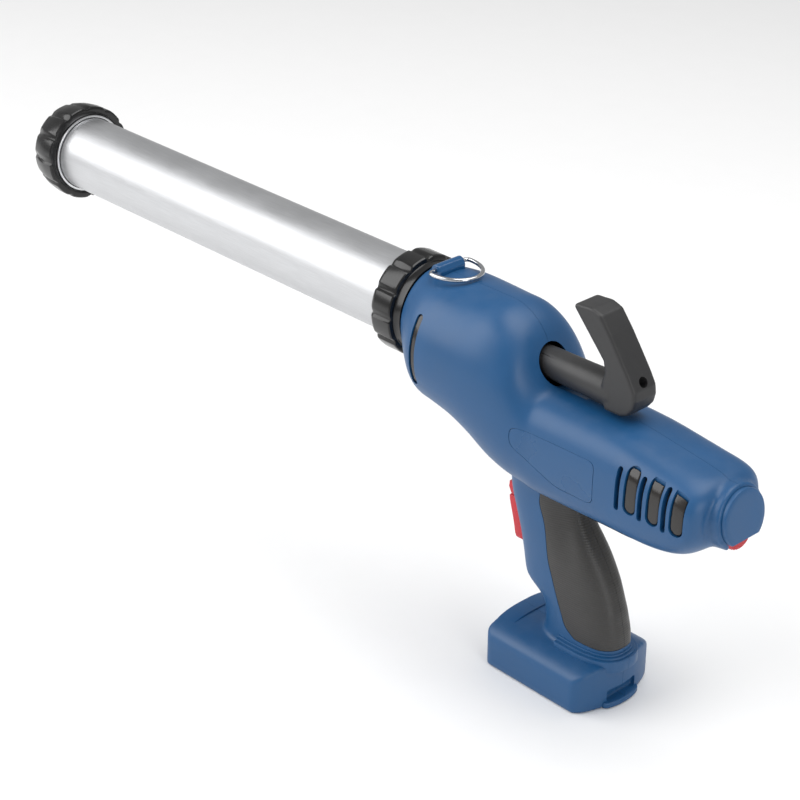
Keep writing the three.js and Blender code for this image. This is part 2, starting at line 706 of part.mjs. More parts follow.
// ---------------------------------------------------------------- trigger group

const TRIGGER_OUTLINE = [[-48.5, 120], [-48, 116], [-44.5, 104], [-42.5, 96], [-41, 89], [-31, 89], [-31, 120]];
const LOCK_OUTLINE = [[-46.5, 121], [-49, 126], [-49, 131], [-36, 131], [-36, 121]];
const PLUNGER = { halfWidth: 3.5, front: -31.5, rear: -17, bottom: 100, top: 110 };
const SPRING = { front: -30.4, length: 15, z: 93.5, radius: 3.2, wireR: 0.5, turns: 4 };
const SWITCH = { front: -14.5, rear: 5, halfWidth: 9, bottom: 88, top: 124 };

/** The trigger's blade, with the plunger that presses the switch. */
function trigger() {
  const blade = acrossY(TRIGGER_OUTLINE, -TRIGGER_HALF_WIDTH, TRIGGER_HALF_WIDTH);
  const { halfWidth, front, rear, bottom, top } = PLUNGER;
  return join(blade, block([front, -halfWidth, bottom], [rear, halfWidth, top]));
}

function lockButton() {
  return acrossY(LOCK_OUTLINE, -TRIGGER_HALF_WIDTH, TRIGGER_HALF_WIDTH);
}

/** Coil spring between the trigger and the switch. */
function triggerSpring() {
  class Coil extends THREE.Curve {
    getPoint(t, target = new THREE.Vector3()) {
      const angle = 2 * Math.PI * SPRING.turns * t;
      const y = SPRING.radius * Math.cos(angle);
      const z = SPRING.z + SPRING.radius * Math.sin(angle);
      return target.set(SPRING.front + SPRING.length * t, y, z);
    }
  }
  const section = new THREE.Shape();
  section.absarc(0, 0, SPRING.wireR, 0, 2 * Math.PI);
  return solid(new THREE.ExtrudeGeometry(section, { extrudePath: new Coil(), steps: 36, curveSegments: 2 }));
}

/** The switch, with the pocket that the trigger's plunger slides in. */
function switchModule() {
  const { front, rear, halfWidth, bottom, top } = SWITCH;
  const margin = 0.5;
  const pocket = block(
    [front - 5, -PLUNGER.halfWidth - margin, PLUNGER.bottom - margin],
    [-8, PLUNGER.halfWidth + margin, PLUNGER.top + margin],
  );
  return cut(block([front, -halfWidth, bottom], [rear, halfWidth, top]), pocket);
}

// ---------------------------------------------------------------- rear end

const CAP_THICKNESS = 3.5;
const CAP_NOTCH_TOP = 166.5;     // below this the cap is cut away so that a thumb reaches the dial
const DIAL_R = 13;
const DIAL_BORE_R = 4;
const DIAL_DROP = 9.5;            // the dial's axis is this far below the cap's, so its rim shows
const DIAL_FRONT = -10.5;        // both measured from the cap's face
const DIAL_REAR = -4;

function rearCap() {
  const notch = block([120, -30, 140], [160, 30, CAP_NOTCH_TOP]);
  return cut(leaningBar(CAP_R, -CAP_THICKNESS, 0), notch);
}

function speedDial() {
  const dial = cut(leaningBar(DIAL_R, DIAL_FRONT, DIAL_REAR), leaningBar(DIAL_BORE_R, DIAL_FRONT - 1, DIAL_REAR + 1, 12));
  return dial.translate([0, 0, -DIAL_DROP]);
}

// ---------------------------------------------------------------- motor and gears

const MOTOR = { front: 28, rear: 84, outerR: 18, wall: 2, holeR: 4 };
const ROTOR = { front: 36, rear: 76, radius: 13 };
const MOTOR_SHAFT_R = 2.5;
const FAN = { front: 86, rear: 92, hubR: 6, blades: 9, bladeLength: 12 };
const GEAR_SHAFT_R = 3.5;        // lay shaft and output shaft
const DRIVE_SHAFT_R = 5;
const PLANET_PIN_R = 2;
const BEARING_R = 8;
const PLATE_INNER_Y = 16;
const PLATE_OUTER_Y = 20;

function motorCan() {
  const { front, rear, outerR, wall, holeR } = MOTOR;
  return turned([
    [front, holeR], [front, outerR], [rear, outerR], [rear, holeR], [rear - wall, holeR],
    [rear - wall, outerR - wall], [front + wall, outerR - wall], [front + wall, holeR], [front, holeR],
  ], MOTOR_Z, 20);
}

/** The rotor and its shaft, with the sun gear cut on the shaft's front end. */
function motorShaft() {
  const rotor = bar(ROTOR.radius, 'x', ROTOR.front, ROTOR.rear, 0, MOTOR_Z, 20);
  const sun = gearAlongX(SUN_TEETH, PLANET_MODULE, 6, 17, MOTOR_Z);
  return join(rotor, bar(MOTOR_SHAFT_R, 'x', 1, 100, 0, MOTOR_Z, 16), sun);
}

function coolingFan() {
  let fan = bar(FAN.hubR, 'x', FAN.front, FAN.rear, 0, MOTOR_Z, 20);
  for (let k = 0; k < FAN.blades; k += 1) {
    const blade = new THREE.BoxGeometry(FAN.rear - FAN.front - 1, FAN.bladeLength, 1);
    blade.translate(0, FAN.hubR - 1 + FAN.bladeLength / 2, 0);
    blade.rotateX(2 * Math.PI * k / FAN.blades);
    blade.translate((FAN.front + FAN.rear) / 2, 0, MOTOR_Z);
    fan = join(fan, solid(blade));
  }
  return cut(fan, bar(MOTOR_SHAFT_R + GAP, 'x', FAN.front - 6, FAN.rear + 18, 0, MOTOR_Z, 16));
}

/** Where planet k sits round the sun. */
function planetPlace(k) {
  const angle = 2 * Math.PI * k / 3;
  return [PLANET_ORBIT_R * Math.cos(angle), MOTOR_Z + PLANET_ORBIT_R * Math.sin(angle), angle];
}

function planetGear(k) {
  const [y, z, angle] = planetPlace(k);
  const turn = meshTurn(angle, SUN_TEETH, PLANET_TEETH);
  const gear = gearAlongX(PLANET_TEETH, PLANET_MODULE, 7, 16, z, turn, y);
  return cut(gear, bar(PLANET_PIN_R + GAP, 'x', 0, 20, y, z, 10));
}

function ringGear() {
  const cup = bar(RING_TEETH * PLANET_MODULE / 2 + 3, 'x', 5, 18, 0, MOTOR_Z, 32);
  const turn = Math.PI * PLANET_TEETH / RING_TEETH;
  const teeth = alongX(movedOutline(toothOutline(RING_TEETH, PLANET_MODULE, true), turn, 0, MOTOR_Z), 0, 20);
  return cut(cup, teeth);
}

/** The carrier's disc with the three planet pins and the output shaft in front. */
function planetCarrier() {
  const disc = bar(16, 'x', 1, 5.5, 0, MOTOR_Z, 20);
  let carrier = join(disc, bar(GEAR_SHAFT_R, 'x', -50, 2, 0, MOTOR_Z, 16));
  for (let k = 0; k < 3; k += 1) {
    const [y, z] = planetPlace(k);
    carrier = join(carrier, bar(PLANET_PIN_R, 'x', 5, 17, y, z, 10));
  }
  return cut(carrier, bar(MOTOR_SHAFT_R + 0.7, 'x', 0.5, 6, 0, MOTOR_Z, 16));
}

function outputPinion() {
  const gear = gearAlongX(OUTPUT_TEETH, LAY_MODULE, -49, -39, MOTOR_Z);
  return cut(gear, bar(GEAR_SHAFT_R + GAP, 'x', -60, 0, 0, MOTOR_Z, 16));
}

function layGear() {
  const turn = meshTurn(Math.PI / 2, OUTPUT_TEETH, LAY_TEETH);
  const gear = gearAlongX(LAY_TEETH, LAY_MODULE, -48, -40, DRIVE_Z, turn);
  return cut(gear, bar(GEAR_SHAFT_R + GAP, 'x', -60, 0, 0, DRIVE_Z, 16));
}

/** The lay shaft, with the crown gear's pinion cut on its front end. */
function layShaft() {
  const pinion = gearAlongX(CROWN_PINION_TEETH, CROWN_MODULE, -57, -52, DRIVE_Z);
  return join(bar(GEAR_SHAFT_R, 'x', -54, -30, 0, DRIVE_Z, 16), pinion);
}

const CROWN_TOOTH = { length: 5, height: 2.4, width: 1.3, middleY: 8.8 };

/** Crown gear: a disc beside the pinion, with teeth that stand up towards the lay shaft. */
function crownGear() {
  let gear = bar(CROWN_R + 3, 'y', 9.6, 13, DRIVE_X, DRIVE_Z, 32);
  for (let k = 0; k < CROWN_TEETH; k += 1) {
    const tooth = new THREE.BoxGeometry(CROWN_TOOTH.length, CROWN_TOOTH.height, CROWN_TOOTH.width);
    tooth.translate(CROWN_R, CROWN_TOOTH.middleY, 0);
    tooth.rotateY(2 * Math.PI * (k + 0.5) / CROWN_TEETH);
    tooth.translate(DRIVE_X, 0, DRIVE_Z);
    gear = join(gear, solid(tooth));
  }
  return cut(gear, bar(DRIVE_SHAFT_R + GAP, 'y', 0, 20, DRIVE_X, DRIVE_Z, 24));
}

function drivePinion() {
  const outline = movedOutline(toothOutline(PINION_TEETH, GEAR_MODULE), Math.PI / 2, DRIVE_X, DRIVE_Z);
  return cut(acrossY(outline, -6, 6), bar(DRIVE_SHAFT_R + GAP, 'y', -20, 20, DRIVE_X, DRIVE_Z, 24));
}

function driveShaft() {
  return bar(DRIVE_SHAFT_R, 'y', -22, 22, DRIVE_X, DRIVE_Z, 20);
}

const PLATE_OUTLINE = [[-104, 190], [-104, 240], [-50, 240], [-28, 225], [-28, 180], [-88, 180]];

/** Gear plate beside the drive gears, with the drive shaft's bearing hole. */
function gearPlate(side) {
  const [y0, y1] = side < 0 ? [-PLATE_OUTER_Y, -PLATE_INNER_Y] : [PLATE_INNER_Y, PLATE_OUTER_Y];
  const bored = cut(acrossY(PLATE_OUTLINE, y0, y1), bar(BEARING_R + GAP, 'y', -30, 30, DRIVE_X, DRIVE_Z, 20));
  if (side > 0) return bored;
  const bridge = block([-37, -PLATE_INNER_Y - 1, 180], [-33, 12, 216]);
  return cut(
    join(bored, bridge),
    turningRoom(GEAR_SHAFT_R, 'x', -40, -30, 0, DRIVE_Z),
    turningRoom(GEAR_SHAFT_R, 'x', -40, -30, 0, MOTOR_Z),
  );
}

function driveBearing(side) {
  const [y0, y1] = side < 0 ? [-PLATE_OUTER_Y, -PLATE_INNER_Y] : [PLATE_INNER_Y, PLATE_OUTER_Y];
  const bush = bar(BEARING_R, 'y', y0, y1, DRIVE_X, DRIVE_Z, 20);
  return cut(bush, turningRoom(DRIVE_SHAFT_R, 'y', -30, 30, DRIVE_X, DRIVE_Z));
}

// ---------------------------------------------------------------- electrics

const BOARD = { front: -14, rear: 26, halfWidth: 10, z: 72, thickness: 1.6 };
const TERMINAL = { front: -12, rear: 24, halfWidth: 20, bottom: 11, top: 17.7 };
const BLADE = { front: -6, rear: 14, spacing: 18, thickness: 1, bottom: 6.5 };

function circuitBoard() {
  const { front, rear, halfWidth, z, thickness } = BOARD;
  return block([front, -halfWidth, z], [rear, halfWidth, z + thickness]);
}

function terminalBlock() {
  const { front, rear, halfWidth, bottom, top } = TERMINAL;
  return block([front, -halfWidth, bottom], [rear, halfWidth, top]);
}

/** One of the two contact blades that the battery's terminals slide onto. */
function contactBlade(k) {
  const { front, rear, spacing, thickness, bottom } = BLADE;
  const y = spacing * (k - 0.5);
  return block([front, y - thickness / 2, bottom], [rear, y + thickness / 2, TERMINAL.bottom - GAP]);
}

// ---------------------------------------------------------------- materials and assembly

const FINISHES = {
  bluePlastic: { color: 0x2f6390, roughness: 0.42, metalness: 0 },
  greyRubber: { color: 0x3b3c3e, roughness: 0.7, metalness: 0 },
  blackPlastic: { color: 0x17181a, roughness: 0.38, metalness: 0 },
  redPlastic: { color: 0xc8202e, roughness: 0.4, metalness: 0 },
  palePlastic: { color: 0xd9dadb, roughness: 0.5, metalness: 0 },
  satinAluminium: { color: 0xbfc2c5, roughness: 0.35, metalness: 1 },
  brightSteel: { color: 0xc9cbcd, roughness: 0.22, metalness: 1 },
  darkSteel: { color: 0x6d7074, roughness: 0.4, metalness: 1 },
  brass: { color: 0xb8923e, roughness: 0.35, metalness: 1 },
  greenBoard: { color: 0x1f5a35, roughness: 0.5, metalness: 0 },
};

const gun = new THREE.Group();

/** Adds one named sub-part to the gun. */
function addPart(name, manifold, finish) {
  const mesh = new THREE.Mesh(toGeometry(manifold), new THREE.MeshStandardMaterial(FINISHES[finish]));
  mesh.name = name;
  gun.add(mesh);
}

const whole = housingWhole();
addPart('housing_left', housingHalf(whole, -1), 'bluePlastic');
addPart('housing_right', housingHalf(whole, 1), 'bluePlastic');
SCREWS.forEach(([x, z], k) => addPart(`housing_screw_${k + 1}`, housingScrew(x, z), 'darkSteel'));

for (const [word, side] of [['left', -1], ['right', 1]]) {
  addPart(`grip_rubber_${word}`, gripRubber(side), 'greyRubber');
  addPart(`bell_pad_${word}`, bellPad(side), 'greyRubber');
  addPart(`name_plate_${word}`, namePlate(side), 'bluePlastic');
  for (let k = 0; k < VENT_PAD.count; k += 1) {
    addPart(`vent_pad_${word}_${k + 1}`, ventPad(k, side), 'greyRubber');
  }
  addPart(`gear_plate_${word}`, gearPlate(side), 'darkSteel');
  addPart(`drive_bearing_${word}`, driveBearing(side), 'brass');
}

addPart('front_ring', frontRing(), 'blackPlastic');
addPart('front_sleeve', frontSleeve(), 'palePlastic');
addPart('cartridge_tube', cartridgeTube(), 'satinAluminium');
addPart('retaining_collar', retainingCollar(), 'blackPlastic');
addPart('tube_seat', tubeSeat(), 'darkSteel');

addPart('push_rod', pushRod(), 'darkSteel');
addPart('piston_plate', pistonPlate(), 'brightSteel');
addPart('piston_cup', pistonCup(), 'blackPlastic');
addPart('piston_nut', pistonNut(), 'brightSteel');
addPart('pull_hook', pullHook(), 'greyRubber');
addPart('hook_screw', hookScrew(), 'darkSteel');

addPart('ring_lug', ringLug(), 'bluePlastic');
addPart('d_ring', dRing(), 'brightSteel');

addPart('trigger', trigger(), 'redPlastic');
addPart('lock_button', lockButton(), 'redPlastic');
addPart('trigger_spring', triggerSpring(), 'brightSteel');
addPart('switch_module', switchModule(), 'blackPlastic');

addPart('rear_cap', rearCap(), 'bluePlastic');
addPart('speed_dial', speedDial(), 'redPlastic');

addPart('motor_can', motorCan(), 'darkSteel');
addPart('motor_shaft', motorShaft(), 'brightSteel');
addPart('cooling_fan', coolingFan(), 'blackPlastic');
for (let k = 0; k < 3; k += 1) addPart(`planet_gear_${k + 1}`, planetGear(k), 'brightSteel');
addPart('ring_gear', ringGear(), 'darkSteel');
addPart('planet_carrier', planetCarrier(), 'darkSteel');
addPart('output_pinion', outputPinion(), 'brightSteel');
addPart('lay_gear', layGear(), 'brightSteel');
addPart('lay_shaft', layShaft(), 'brightSteel');
addPart('crown_gear', crownGear(), 'brightSteel');
addPart('drive_pinion', drivePinion(), 'brightSteel');
addPart('drive_shaft', driveShaft(), 'brightSteel');

addPart('circuit_board', circuitBoard(), 'greenBoard');
addPart('terminal_block', terminalBlock(), 'blackPlastic');
for (let k = 0; k < 2; k += 1) addPart(`contact_blade_${k + 1}`, contactBlade(k), 'brass');

export default gun;
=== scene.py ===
# %% [markdown]
# # A cordless caulking gun
# The gun squeezes sealant out of 600 ml packs. A pack lies in the long aluminium tube, a toothed rod
# pushes a piston against it, and a motor in the blue housing drives the rod. The mechanical model is
# loaded first and stays as it is. Everything that a person sees is then modelled around it, in the
# same place and at the same size, so that both fit with no further moving.

# %% Load the frame
import json
import math

import bpy
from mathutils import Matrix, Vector

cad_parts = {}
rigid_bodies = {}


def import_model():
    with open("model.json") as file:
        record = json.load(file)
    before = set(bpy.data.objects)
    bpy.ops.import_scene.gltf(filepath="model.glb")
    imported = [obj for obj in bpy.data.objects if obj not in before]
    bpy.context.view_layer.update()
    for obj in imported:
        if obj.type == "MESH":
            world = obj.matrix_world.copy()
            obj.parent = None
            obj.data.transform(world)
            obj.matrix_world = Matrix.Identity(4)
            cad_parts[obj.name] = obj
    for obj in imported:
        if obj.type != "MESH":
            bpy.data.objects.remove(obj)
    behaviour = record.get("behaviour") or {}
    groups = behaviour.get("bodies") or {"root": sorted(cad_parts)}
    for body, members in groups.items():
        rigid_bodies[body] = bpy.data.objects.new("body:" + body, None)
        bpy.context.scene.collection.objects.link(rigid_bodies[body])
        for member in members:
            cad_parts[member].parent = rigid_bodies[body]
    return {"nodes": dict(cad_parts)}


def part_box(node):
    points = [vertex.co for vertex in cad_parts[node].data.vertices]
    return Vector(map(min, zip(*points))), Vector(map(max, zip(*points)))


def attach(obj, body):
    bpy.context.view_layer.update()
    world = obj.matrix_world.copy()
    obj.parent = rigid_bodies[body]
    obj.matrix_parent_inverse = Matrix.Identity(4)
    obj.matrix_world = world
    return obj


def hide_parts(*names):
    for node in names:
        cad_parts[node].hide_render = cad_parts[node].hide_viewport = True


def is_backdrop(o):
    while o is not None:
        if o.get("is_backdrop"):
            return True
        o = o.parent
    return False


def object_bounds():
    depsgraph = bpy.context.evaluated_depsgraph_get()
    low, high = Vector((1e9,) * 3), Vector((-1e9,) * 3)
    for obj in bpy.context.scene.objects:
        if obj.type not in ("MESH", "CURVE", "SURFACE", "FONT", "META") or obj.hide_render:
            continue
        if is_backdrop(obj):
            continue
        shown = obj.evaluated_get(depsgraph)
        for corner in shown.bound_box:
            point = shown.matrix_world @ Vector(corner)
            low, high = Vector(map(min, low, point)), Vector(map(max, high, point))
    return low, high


bpy.ops.object.select_all(action="SELECT")
bpy.ops.object.delete()
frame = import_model()
cad_box = [list(corner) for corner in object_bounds()]
print("nodes in the frame:", len(frame["nodes"]))

# %% Sizes read from the frame
MM = 0.001

tube_low, tube_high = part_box("cartridge_tube")

TUBE_R = (tube_high[1] - tube_low[1]) / 2
AXIS_Z = (tube_low[2] + tube_high[2]) / 2
print("tube radius", TUBE_R, "axis height", AXIS_Z)

# %% [markdown]
# ## Working as by hand
# Each piece starts as a Blender primitive and is shaped in edit mode. An operator works on whatever is
# selected, so these helpers always deselect everything, and then pick one object.


# %% Small helpers for picking, entering and finishing
def pick(piece):
    """Makes one object the only selected and active one."""
    bpy.ops.object.select_all(action="DESELECT")
    piece.select_set(True)
    bpy.context.view_layer.objects.active = piece
    return piece


def named(name):
    """Names the object that was just added, and returns it."""
    piece = bpy.context.object
    piece.name = name
    piece.data.name = name
    return piece


def edit(piece, mode="VERT"):
    """Enters edit mode on one object with everything selected."""
    pick(piece)
    bpy.ops.object.mode_set(mode="EDIT")
    bpy.ops.mesh.select_mode(type=mode)
    bpy.ops.mesh.select_all(action="SELECT")


def leave():
    bpy.ops.object.mode_set(mode="OBJECT")


def apply(piece, kind, **settings):
    """Adds a modifier, sets it up and applies it."""
    pick(piece)
    modifier = piece.modifiers.new(kind.lower(), kind)
    for key, value in settings.items():
        setattr(modifier, key, value)
    bpy.ops.object.modifier_apply(modifier=modifier.name)
    return piece


def twin(piece, name):
    """A copy of a piece with its own mesh."""
    copy = piece.copy()
    copy.data = piece.data.copy()
    copy.name = name
    copy.data.name = name
    bpy.context.collection.objects.link(copy)
    return copy


def drop(*pieces):
    for piece in pieces:
        bpy.data.objects.remove(piece, do_unlink=True)


def combine(piece, tool, how, keep_tool=False):
    """Joins, cuts or intersects a closed piece with a closed tool."""
    apply(piece, "BOOLEAN", operation=how, object=tool, solver="MANIFOLD")
    if not keep_tool:
        drop(tool)
    return piece


def settle(piece, angle=40):
    """Leaves a finished piece at the origin, with smooth shading between faces that meet gently."""
    pick(piece)
    bpy.ops.object.transform_apply(location=True, rotation=True, scale=True)
    bpy.ops.object.shade_smooth_by_angle(angle=math.radians(angle))
    print(f"{piece.name}: {len(piece.data.polygons)} faces")
    return piece


# %% [markdown]
# ## Three ways to start a form
# A *loft* is a ring of points that is extruded again and again, each new ring moved to its own
# outline. A *prism* is one outline extruded once. A *turned* piece is a profile spun round an axis,
# as on a lathe. Every solid below starts in one of these ways.


# %% Loft, prism, turned piece, bar
def ring_of(name, points):
    """A circle primitive whose points are moved onto an outline."""
    bpy.ops.mesh.primitive_circle_add(vertices=len(points), radius=10 * MM)
    piece = named(name)
    for vertex, place in zip(piece.data.vertices, points):
        vertex.co = place
    return piece


def loft(name, rings):
    """A closed skin through rings of points."""
    piece = ring_of(name, rings[0])
    edit(piece, "EDGE")
    for _ in rings[1:]:
        bpy.ops.mesh.extrude_region_move()
    leave()
    count = len(rings[0])
    for index, vertex in enumerate(piece.data.vertices):
        vertex.co = rings[index // count][index % count]
    for end in (0, len(rings) - 1):
        pick(piece)
        for vertex in piece.data.vertices:
            vertex.select = vertex.index // count == end
        for edge in piece.data.edges:
            edge.select = all(piece.data.vertices[v].index // count == end for v in edge.vertices)
        bpy.ops.object.mode_set(mode="EDIT")
        bpy.ops.mesh.select_mode(type="EDGE")
        bpy.ops.mesh.edge_face_add()
        leave()
    edit(piece)
    bpy.ops.mesh.normals_make_consistent(inside=False)
    leave()
    return piece


def prism(name, outline, push):
    """An outline of points, filled and extruded by the vector `push`."""
    piece = ring_of(name, outline)
    edit(piece, "EDGE")
    bpy.ops.mesh.edge_face_add()
    bpy.ops.mesh.extrude_region_move(TRANSFORM_OT_translate={"value": push})
    bpy.ops.mesh.select_all(action="SELECT")
    bpy.ops.mesh.normals_make_consistent(inside=False)
    leave()
    return piece


def side_prism(name, outline, y0, y1):
    """A prism across the tool, from [x, z] points in millimetres."""
    points = [(x * MM, y0 * MM, z * MM) for x, z in outline]
    return prism(name, points, (0, (y1 - y0) * MM, 0))


def turned(name, profile, steps=96, height=AXIS_Z, solid=True):
    """Spins [x, radius] points in millimetres round the X axis at a height."""
    points = [(x * MM, 0, height + r * MM) for x, r in profile]
    piece = ring_of(name, points)
    if not solid:
        cut_open(piece, len(points) - 1, 0)
    edit(piece)
    bpy.ops.mesh.spin(steps=steps, angle=2 * math.pi, center=(0, 0, height), axis=(1, 0, 0))
    bpy.ops.mesh.select_all(action="SELECT")
    bpy.ops.mesh.remove_doubles(threshold=0.001 * MM)
    bpy.ops.mesh.normals_make_consistent(inside=False)
    leave()
    return piece


def cut_open(piece, first, second):
    """Deletes the edge between two points of a ring, so that a profile may end on the axis."""
    pick(piece)
    for edge in piece.data.edges:
        edge.select = set(edge.vertices) == {first, second}
    for vertex in piece.data.vertices:
        vertex.select = vertex.index in (first, second)
    bpy.ops.object.mode_set(mode="EDIT")
    bpy.ops.mesh.select_mode(type="EDGE")
    bpy.ops.mesh.delete(type="EDGE")
    leave()


def bar(name, radius, start, end, sides=48):
    """A round bar between two points given in millimetres."""
    a = Vector(start) * MM
    b = Vector(end) * MM
    turn = (b - a).to_track_quat("Z", "Y").to_euler()
    bpy.ops.mesh.primitive_cylinder_add(
        vertices=sides, radius=radius * MM, depth=(b - a).length, location=(a + b) / 2, rotation=turn
    )
    piece = named(name)
    bpy.ops.object.transform_apply(location=True, rotation=True, scale=True)
    return piece


def block(name, low, high, rounding=0, segments=4):
    """A box between two corners in millimetres, its edges rounded by a bevel."""
    bpy.ops.mesh.primitive_cube_add(size=1)
    piece = named(name)
    piece.scale = [(b - a) * MM for a, b in zip(low, high)]
    piece.location = [(a + b) / 2 * MM for a, b in zip(low, high)]
    bpy.ops.object.transform_apply(location=True, rotation=True, scale=True)
    if rounding:
        apply(piece, "BEVEL", width=rounding * MM, segments=segments)
    return piece


# %% [markdown]
# ## The form of the housing
# The real housing is one flowing moulding: a bell that holds the tube, a motor housing behind it, a
# pistol handle and a foot. It could be sculpted, or modelled as one subdivision cage. Here each part is
# a simple loft, the lofts are united, and a voxel remesh followed by smoothing melts them together,
# the way clay is rubbed over a joint. This gives even fillets where the parts meet.

# %% Outlines of the bell and motor housing
# Stations along X in millimetres: x, half width, top, widest height, bottom, squareness
BODY_STATIONS = [
    (-130, 33, 261, 228, 195, 2.0),
    (-125, 36.5, 261.5, 224, 188, 2.0),
    (-118, 41.5, 262, 219, 178, 2.05),
    (-110, 45.8, 262, 216, 171.5, 2.1),
    (-100, 46.9, 262, 216, 169.5, 2.1),
    (-82, 46.4, 262, 214, 164.5, 2.1),
    (-65, 45.5, 262, 211, 155.5, 2.1),
    (-50, 44, 261.5, 207, 146, 2.2),
    (-37, 42.3, 256, 201, 142, 2.3),
    (-27, 40.6, 246, 195, 141, 2.4),
    (-19, 39, 230.5, 190, 141, 2.5),
    (-12, 37.8, 219.5, 185, 141, 2.7),
    (-4, 37, 216, 181, 141.5, 2.9),
    (25, 36.2, 215, 180, 142, 3.0),
    (60, 36, 214, 179, 143, 3.0),
    (85, 36, 211, 178, 143.5, 3.0),
    (103, 35.8, 208.5, 178, 146, 3.0),
    (117, 35.3, 206.5, 179, 151, 3.0),
    (126, 33.5, 204, 180, 157.5, 2.8),
    (131, 28, 200, 181, 162, 2.6),
]
BODY_SIDES = 64


def squared(value, squareness):
    """A sine or cosine pushed outwards: squareness 2 is an ellipse, more is a rounded box."""
    return math.copysign(abs(value) ** (2 / squareness), value)


def between(rows, index, t):
    """A smooth value between two rows of a table, by a Catmull-Rom curve through their neighbours."""
    row = lambda k: rows[max(0, min(len(rows) - 1, k))]
    before, here, after, beyond = row(index - 1), row(index), row(index + 1), row(index + 2)
    return [
        0.5 * (2 * b + (c - a) * t + (2 * a - 5 * b + 4 * c - d) * t * t + (3 * b - a - 3 * c + d) * t ** 3)
        for a, b, c, d in zip(before, here, after, beyond)
    ]


def smooth_rows(rows, pieces):
    """The table with `pieces` rows for each gap."""
    finer = [between(rows, k, j / pieces) for k in range(len(rows) - 1) for j in range(pieces)]
    return finer + [list(rows[-1])]


def body_ring(row, inset=0, sides=BODY_SIDES):
    x, half_width, top, middle, bottom, squareness = row
    ring = []
    for k in range(sides):
        angle = 2 * math.pi * (k + 0.5) / sides
        rise = top - middle if math.sin(angle) > 0 else middle - bottom
        y = (half_width - inset) * squared(math.cos(angle), squareness)
        z = middle + (rise - inset) * squared(math.sin(angle), squareness)
        ring.append((x * MM, y * MM, z * MM))
    return ring


# %% Outlines of the handle
# Stations up the handle in millimetres: height, front x, rear x
HANDLE_STATIONS = [
    (16, -10.5, 55), (32, -10.5, 55), (45, -10.5, 55), (53, -11.5, 54), (59, -14.5, 52.5), (64, -21, 51.5),
    (68, -28, 50.5), (72, -31, 49), (85, -33.5, 44), (100, -36.5, 35.5), (112, -40, 27), (122, -43, 20),
    (131, -45.5, 15), (145, -47, 11), (160, -47, 11),
]
HANDLE_HALF_WIDTH = 18
HANDLE_SQUARENESS = 2.6


def handle_ring(row, inset=0, sides=48):
    height, front, rear = row
    middle = (front + rear) / 2
    reach = (rear - front) / 2 - inset
    ring = []
    for k in range(sides):
        angle = 2 * math.pi * (k + 0.5) / sides
        x = middle + reach * squared(math.cos(angle), HANDLE_SQUARENESS)
        y = (HANDLE_HALF_WIDTH - inset) * squared(math.sin(angle), HANDLE_SQUARENESS)
        ring.append((x * MM, y * MM, height * MM))
    return ring


# %% [markdown]
# The palm and thumb press on the sides of the handle high up, and the moulding has a shallow hollow
# there. Every solid that follows the handle is pressed in by the same rule, so the rubber, its
# recess and the inner wall keep their thickness.

# %% Press the thumb hollow
HOLLOW_X, HOLLOW_Z = 9, 122
HOLLOW_WIDTH, HOLLOW_HEIGHT = 9, 25
HOLLOW_LEAN = 0.28
HOLLOW_DEPTH = 3.2
HOLLOW_SIDE_Y = 8


def thumb_hollow(piece):
    """Presses both sides of a piece inwards round the hollow, most at its middle."""
    for vertex in piece.data.vertices:
        above = vertex.co.z / MM - HOLLOW_Z
        dx = (vertex.co.x / MM - HOLLOW_X + above * HOLLOW_LEAN) / HOLLOW_WIDTH
        dz = above / HOLLOW_HEIGHT
        press = HOLLOW_DEPTH * math.exp(-dx * dx - dz * dz) * MM
        if abs(vertex.co.y) > HOLLOW_SIDE_Y * MM:
            vertex.co.y -= math.copysign(press, vertex.co.y)
    return piece


# %% Make the bell, motor housing and handle
def body_solid(name, inset=0, rows_per_gap=3, sides=BODY_SIDES):
    rows = smooth_rows(BODY_STATIONS, rows_per_gap)
    if inset:
        rows = [row for row in rows if BODY_STATIONS[0][0] + inset < row[0] < BODY_STATIONS[-1][0] - inset]
    return loft(name, [body_ring(row, inset, sides) for row in rows])


def handle_solid(name, inset=0, from_z=0, sides=48):
    rows = [row for row in smooth_rows(HANDLE_STATIONS, 3) if row[0] > from_z]
    return thumb_hollow(loft(name, [handle_ring(row, inset, sides) for row in rows]))


housing = body_solid("housing")
combine(housing, handle_solid("handle"), "UNION")
print("housing so far:", len(housing.data.polygons), "faces")

# %% Make the foot
FOOT_HALF_WIDTH = 37.5
FOOT_FRONT, FOOT_REAR, FOOT_BOW = -39.5, 46.5, 8
FOOT_SIDE_Z, FOOT_TOP_Z = 22, 34


def foot_plan():
    """The foot seen from above: straight sides, small corners and a bowed rear face."""
    half, corner = FOOT_HALF_WIDTH, 4
    points = []
    for k in range(13):
        across = -1 + 2 * k / 12
        y = across * (half - corner)
        points.append((FOOT_REAR + 1 + FOOT_BOW * (1 - across ** 2), y))
    points += [(FOOT_REAR - corner, half), (FOOT_FRONT + corner, half)]
    points += [(FOOT_FRONT, half - corner), (FOOT_FRONT, -half + corner)]
    points += [(FOOT_FRONT + corner, -half), (FOOT_REAR - corner, -half)]
    return points


def foot_arch(steps=24):
    """The foot seen from the front: upright sides under a low arch."""
    points = [(-FOOT_HALF_WIDTH, 0), (FOOT_HALF_WIDTH, 0)]
    for k in range(steps + 1):
        angle = math.pi * k / steps
        y = FOOT_HALF_WIDTH * squared(math.cos(angle), 2.6)
        points.append((y, FOOT_SIDE_Z + (FOOT_TOP_Z - FOOT_SIDE_Z) * squared(math.sin(angle), 2.2)))
    return points


def foot_solid(name):
    plan = prism(name, [(x * MM, y * MM, 0) for x, y in foot_plan()], (0, 0, 60 * MM))
    arch = prism("arch", [(-60 * MM, y * MM, z * MM) for y, z in foot_arch()], (140 * MM, 0, 0))
    return combine(plan, arch, "INTERSECT")


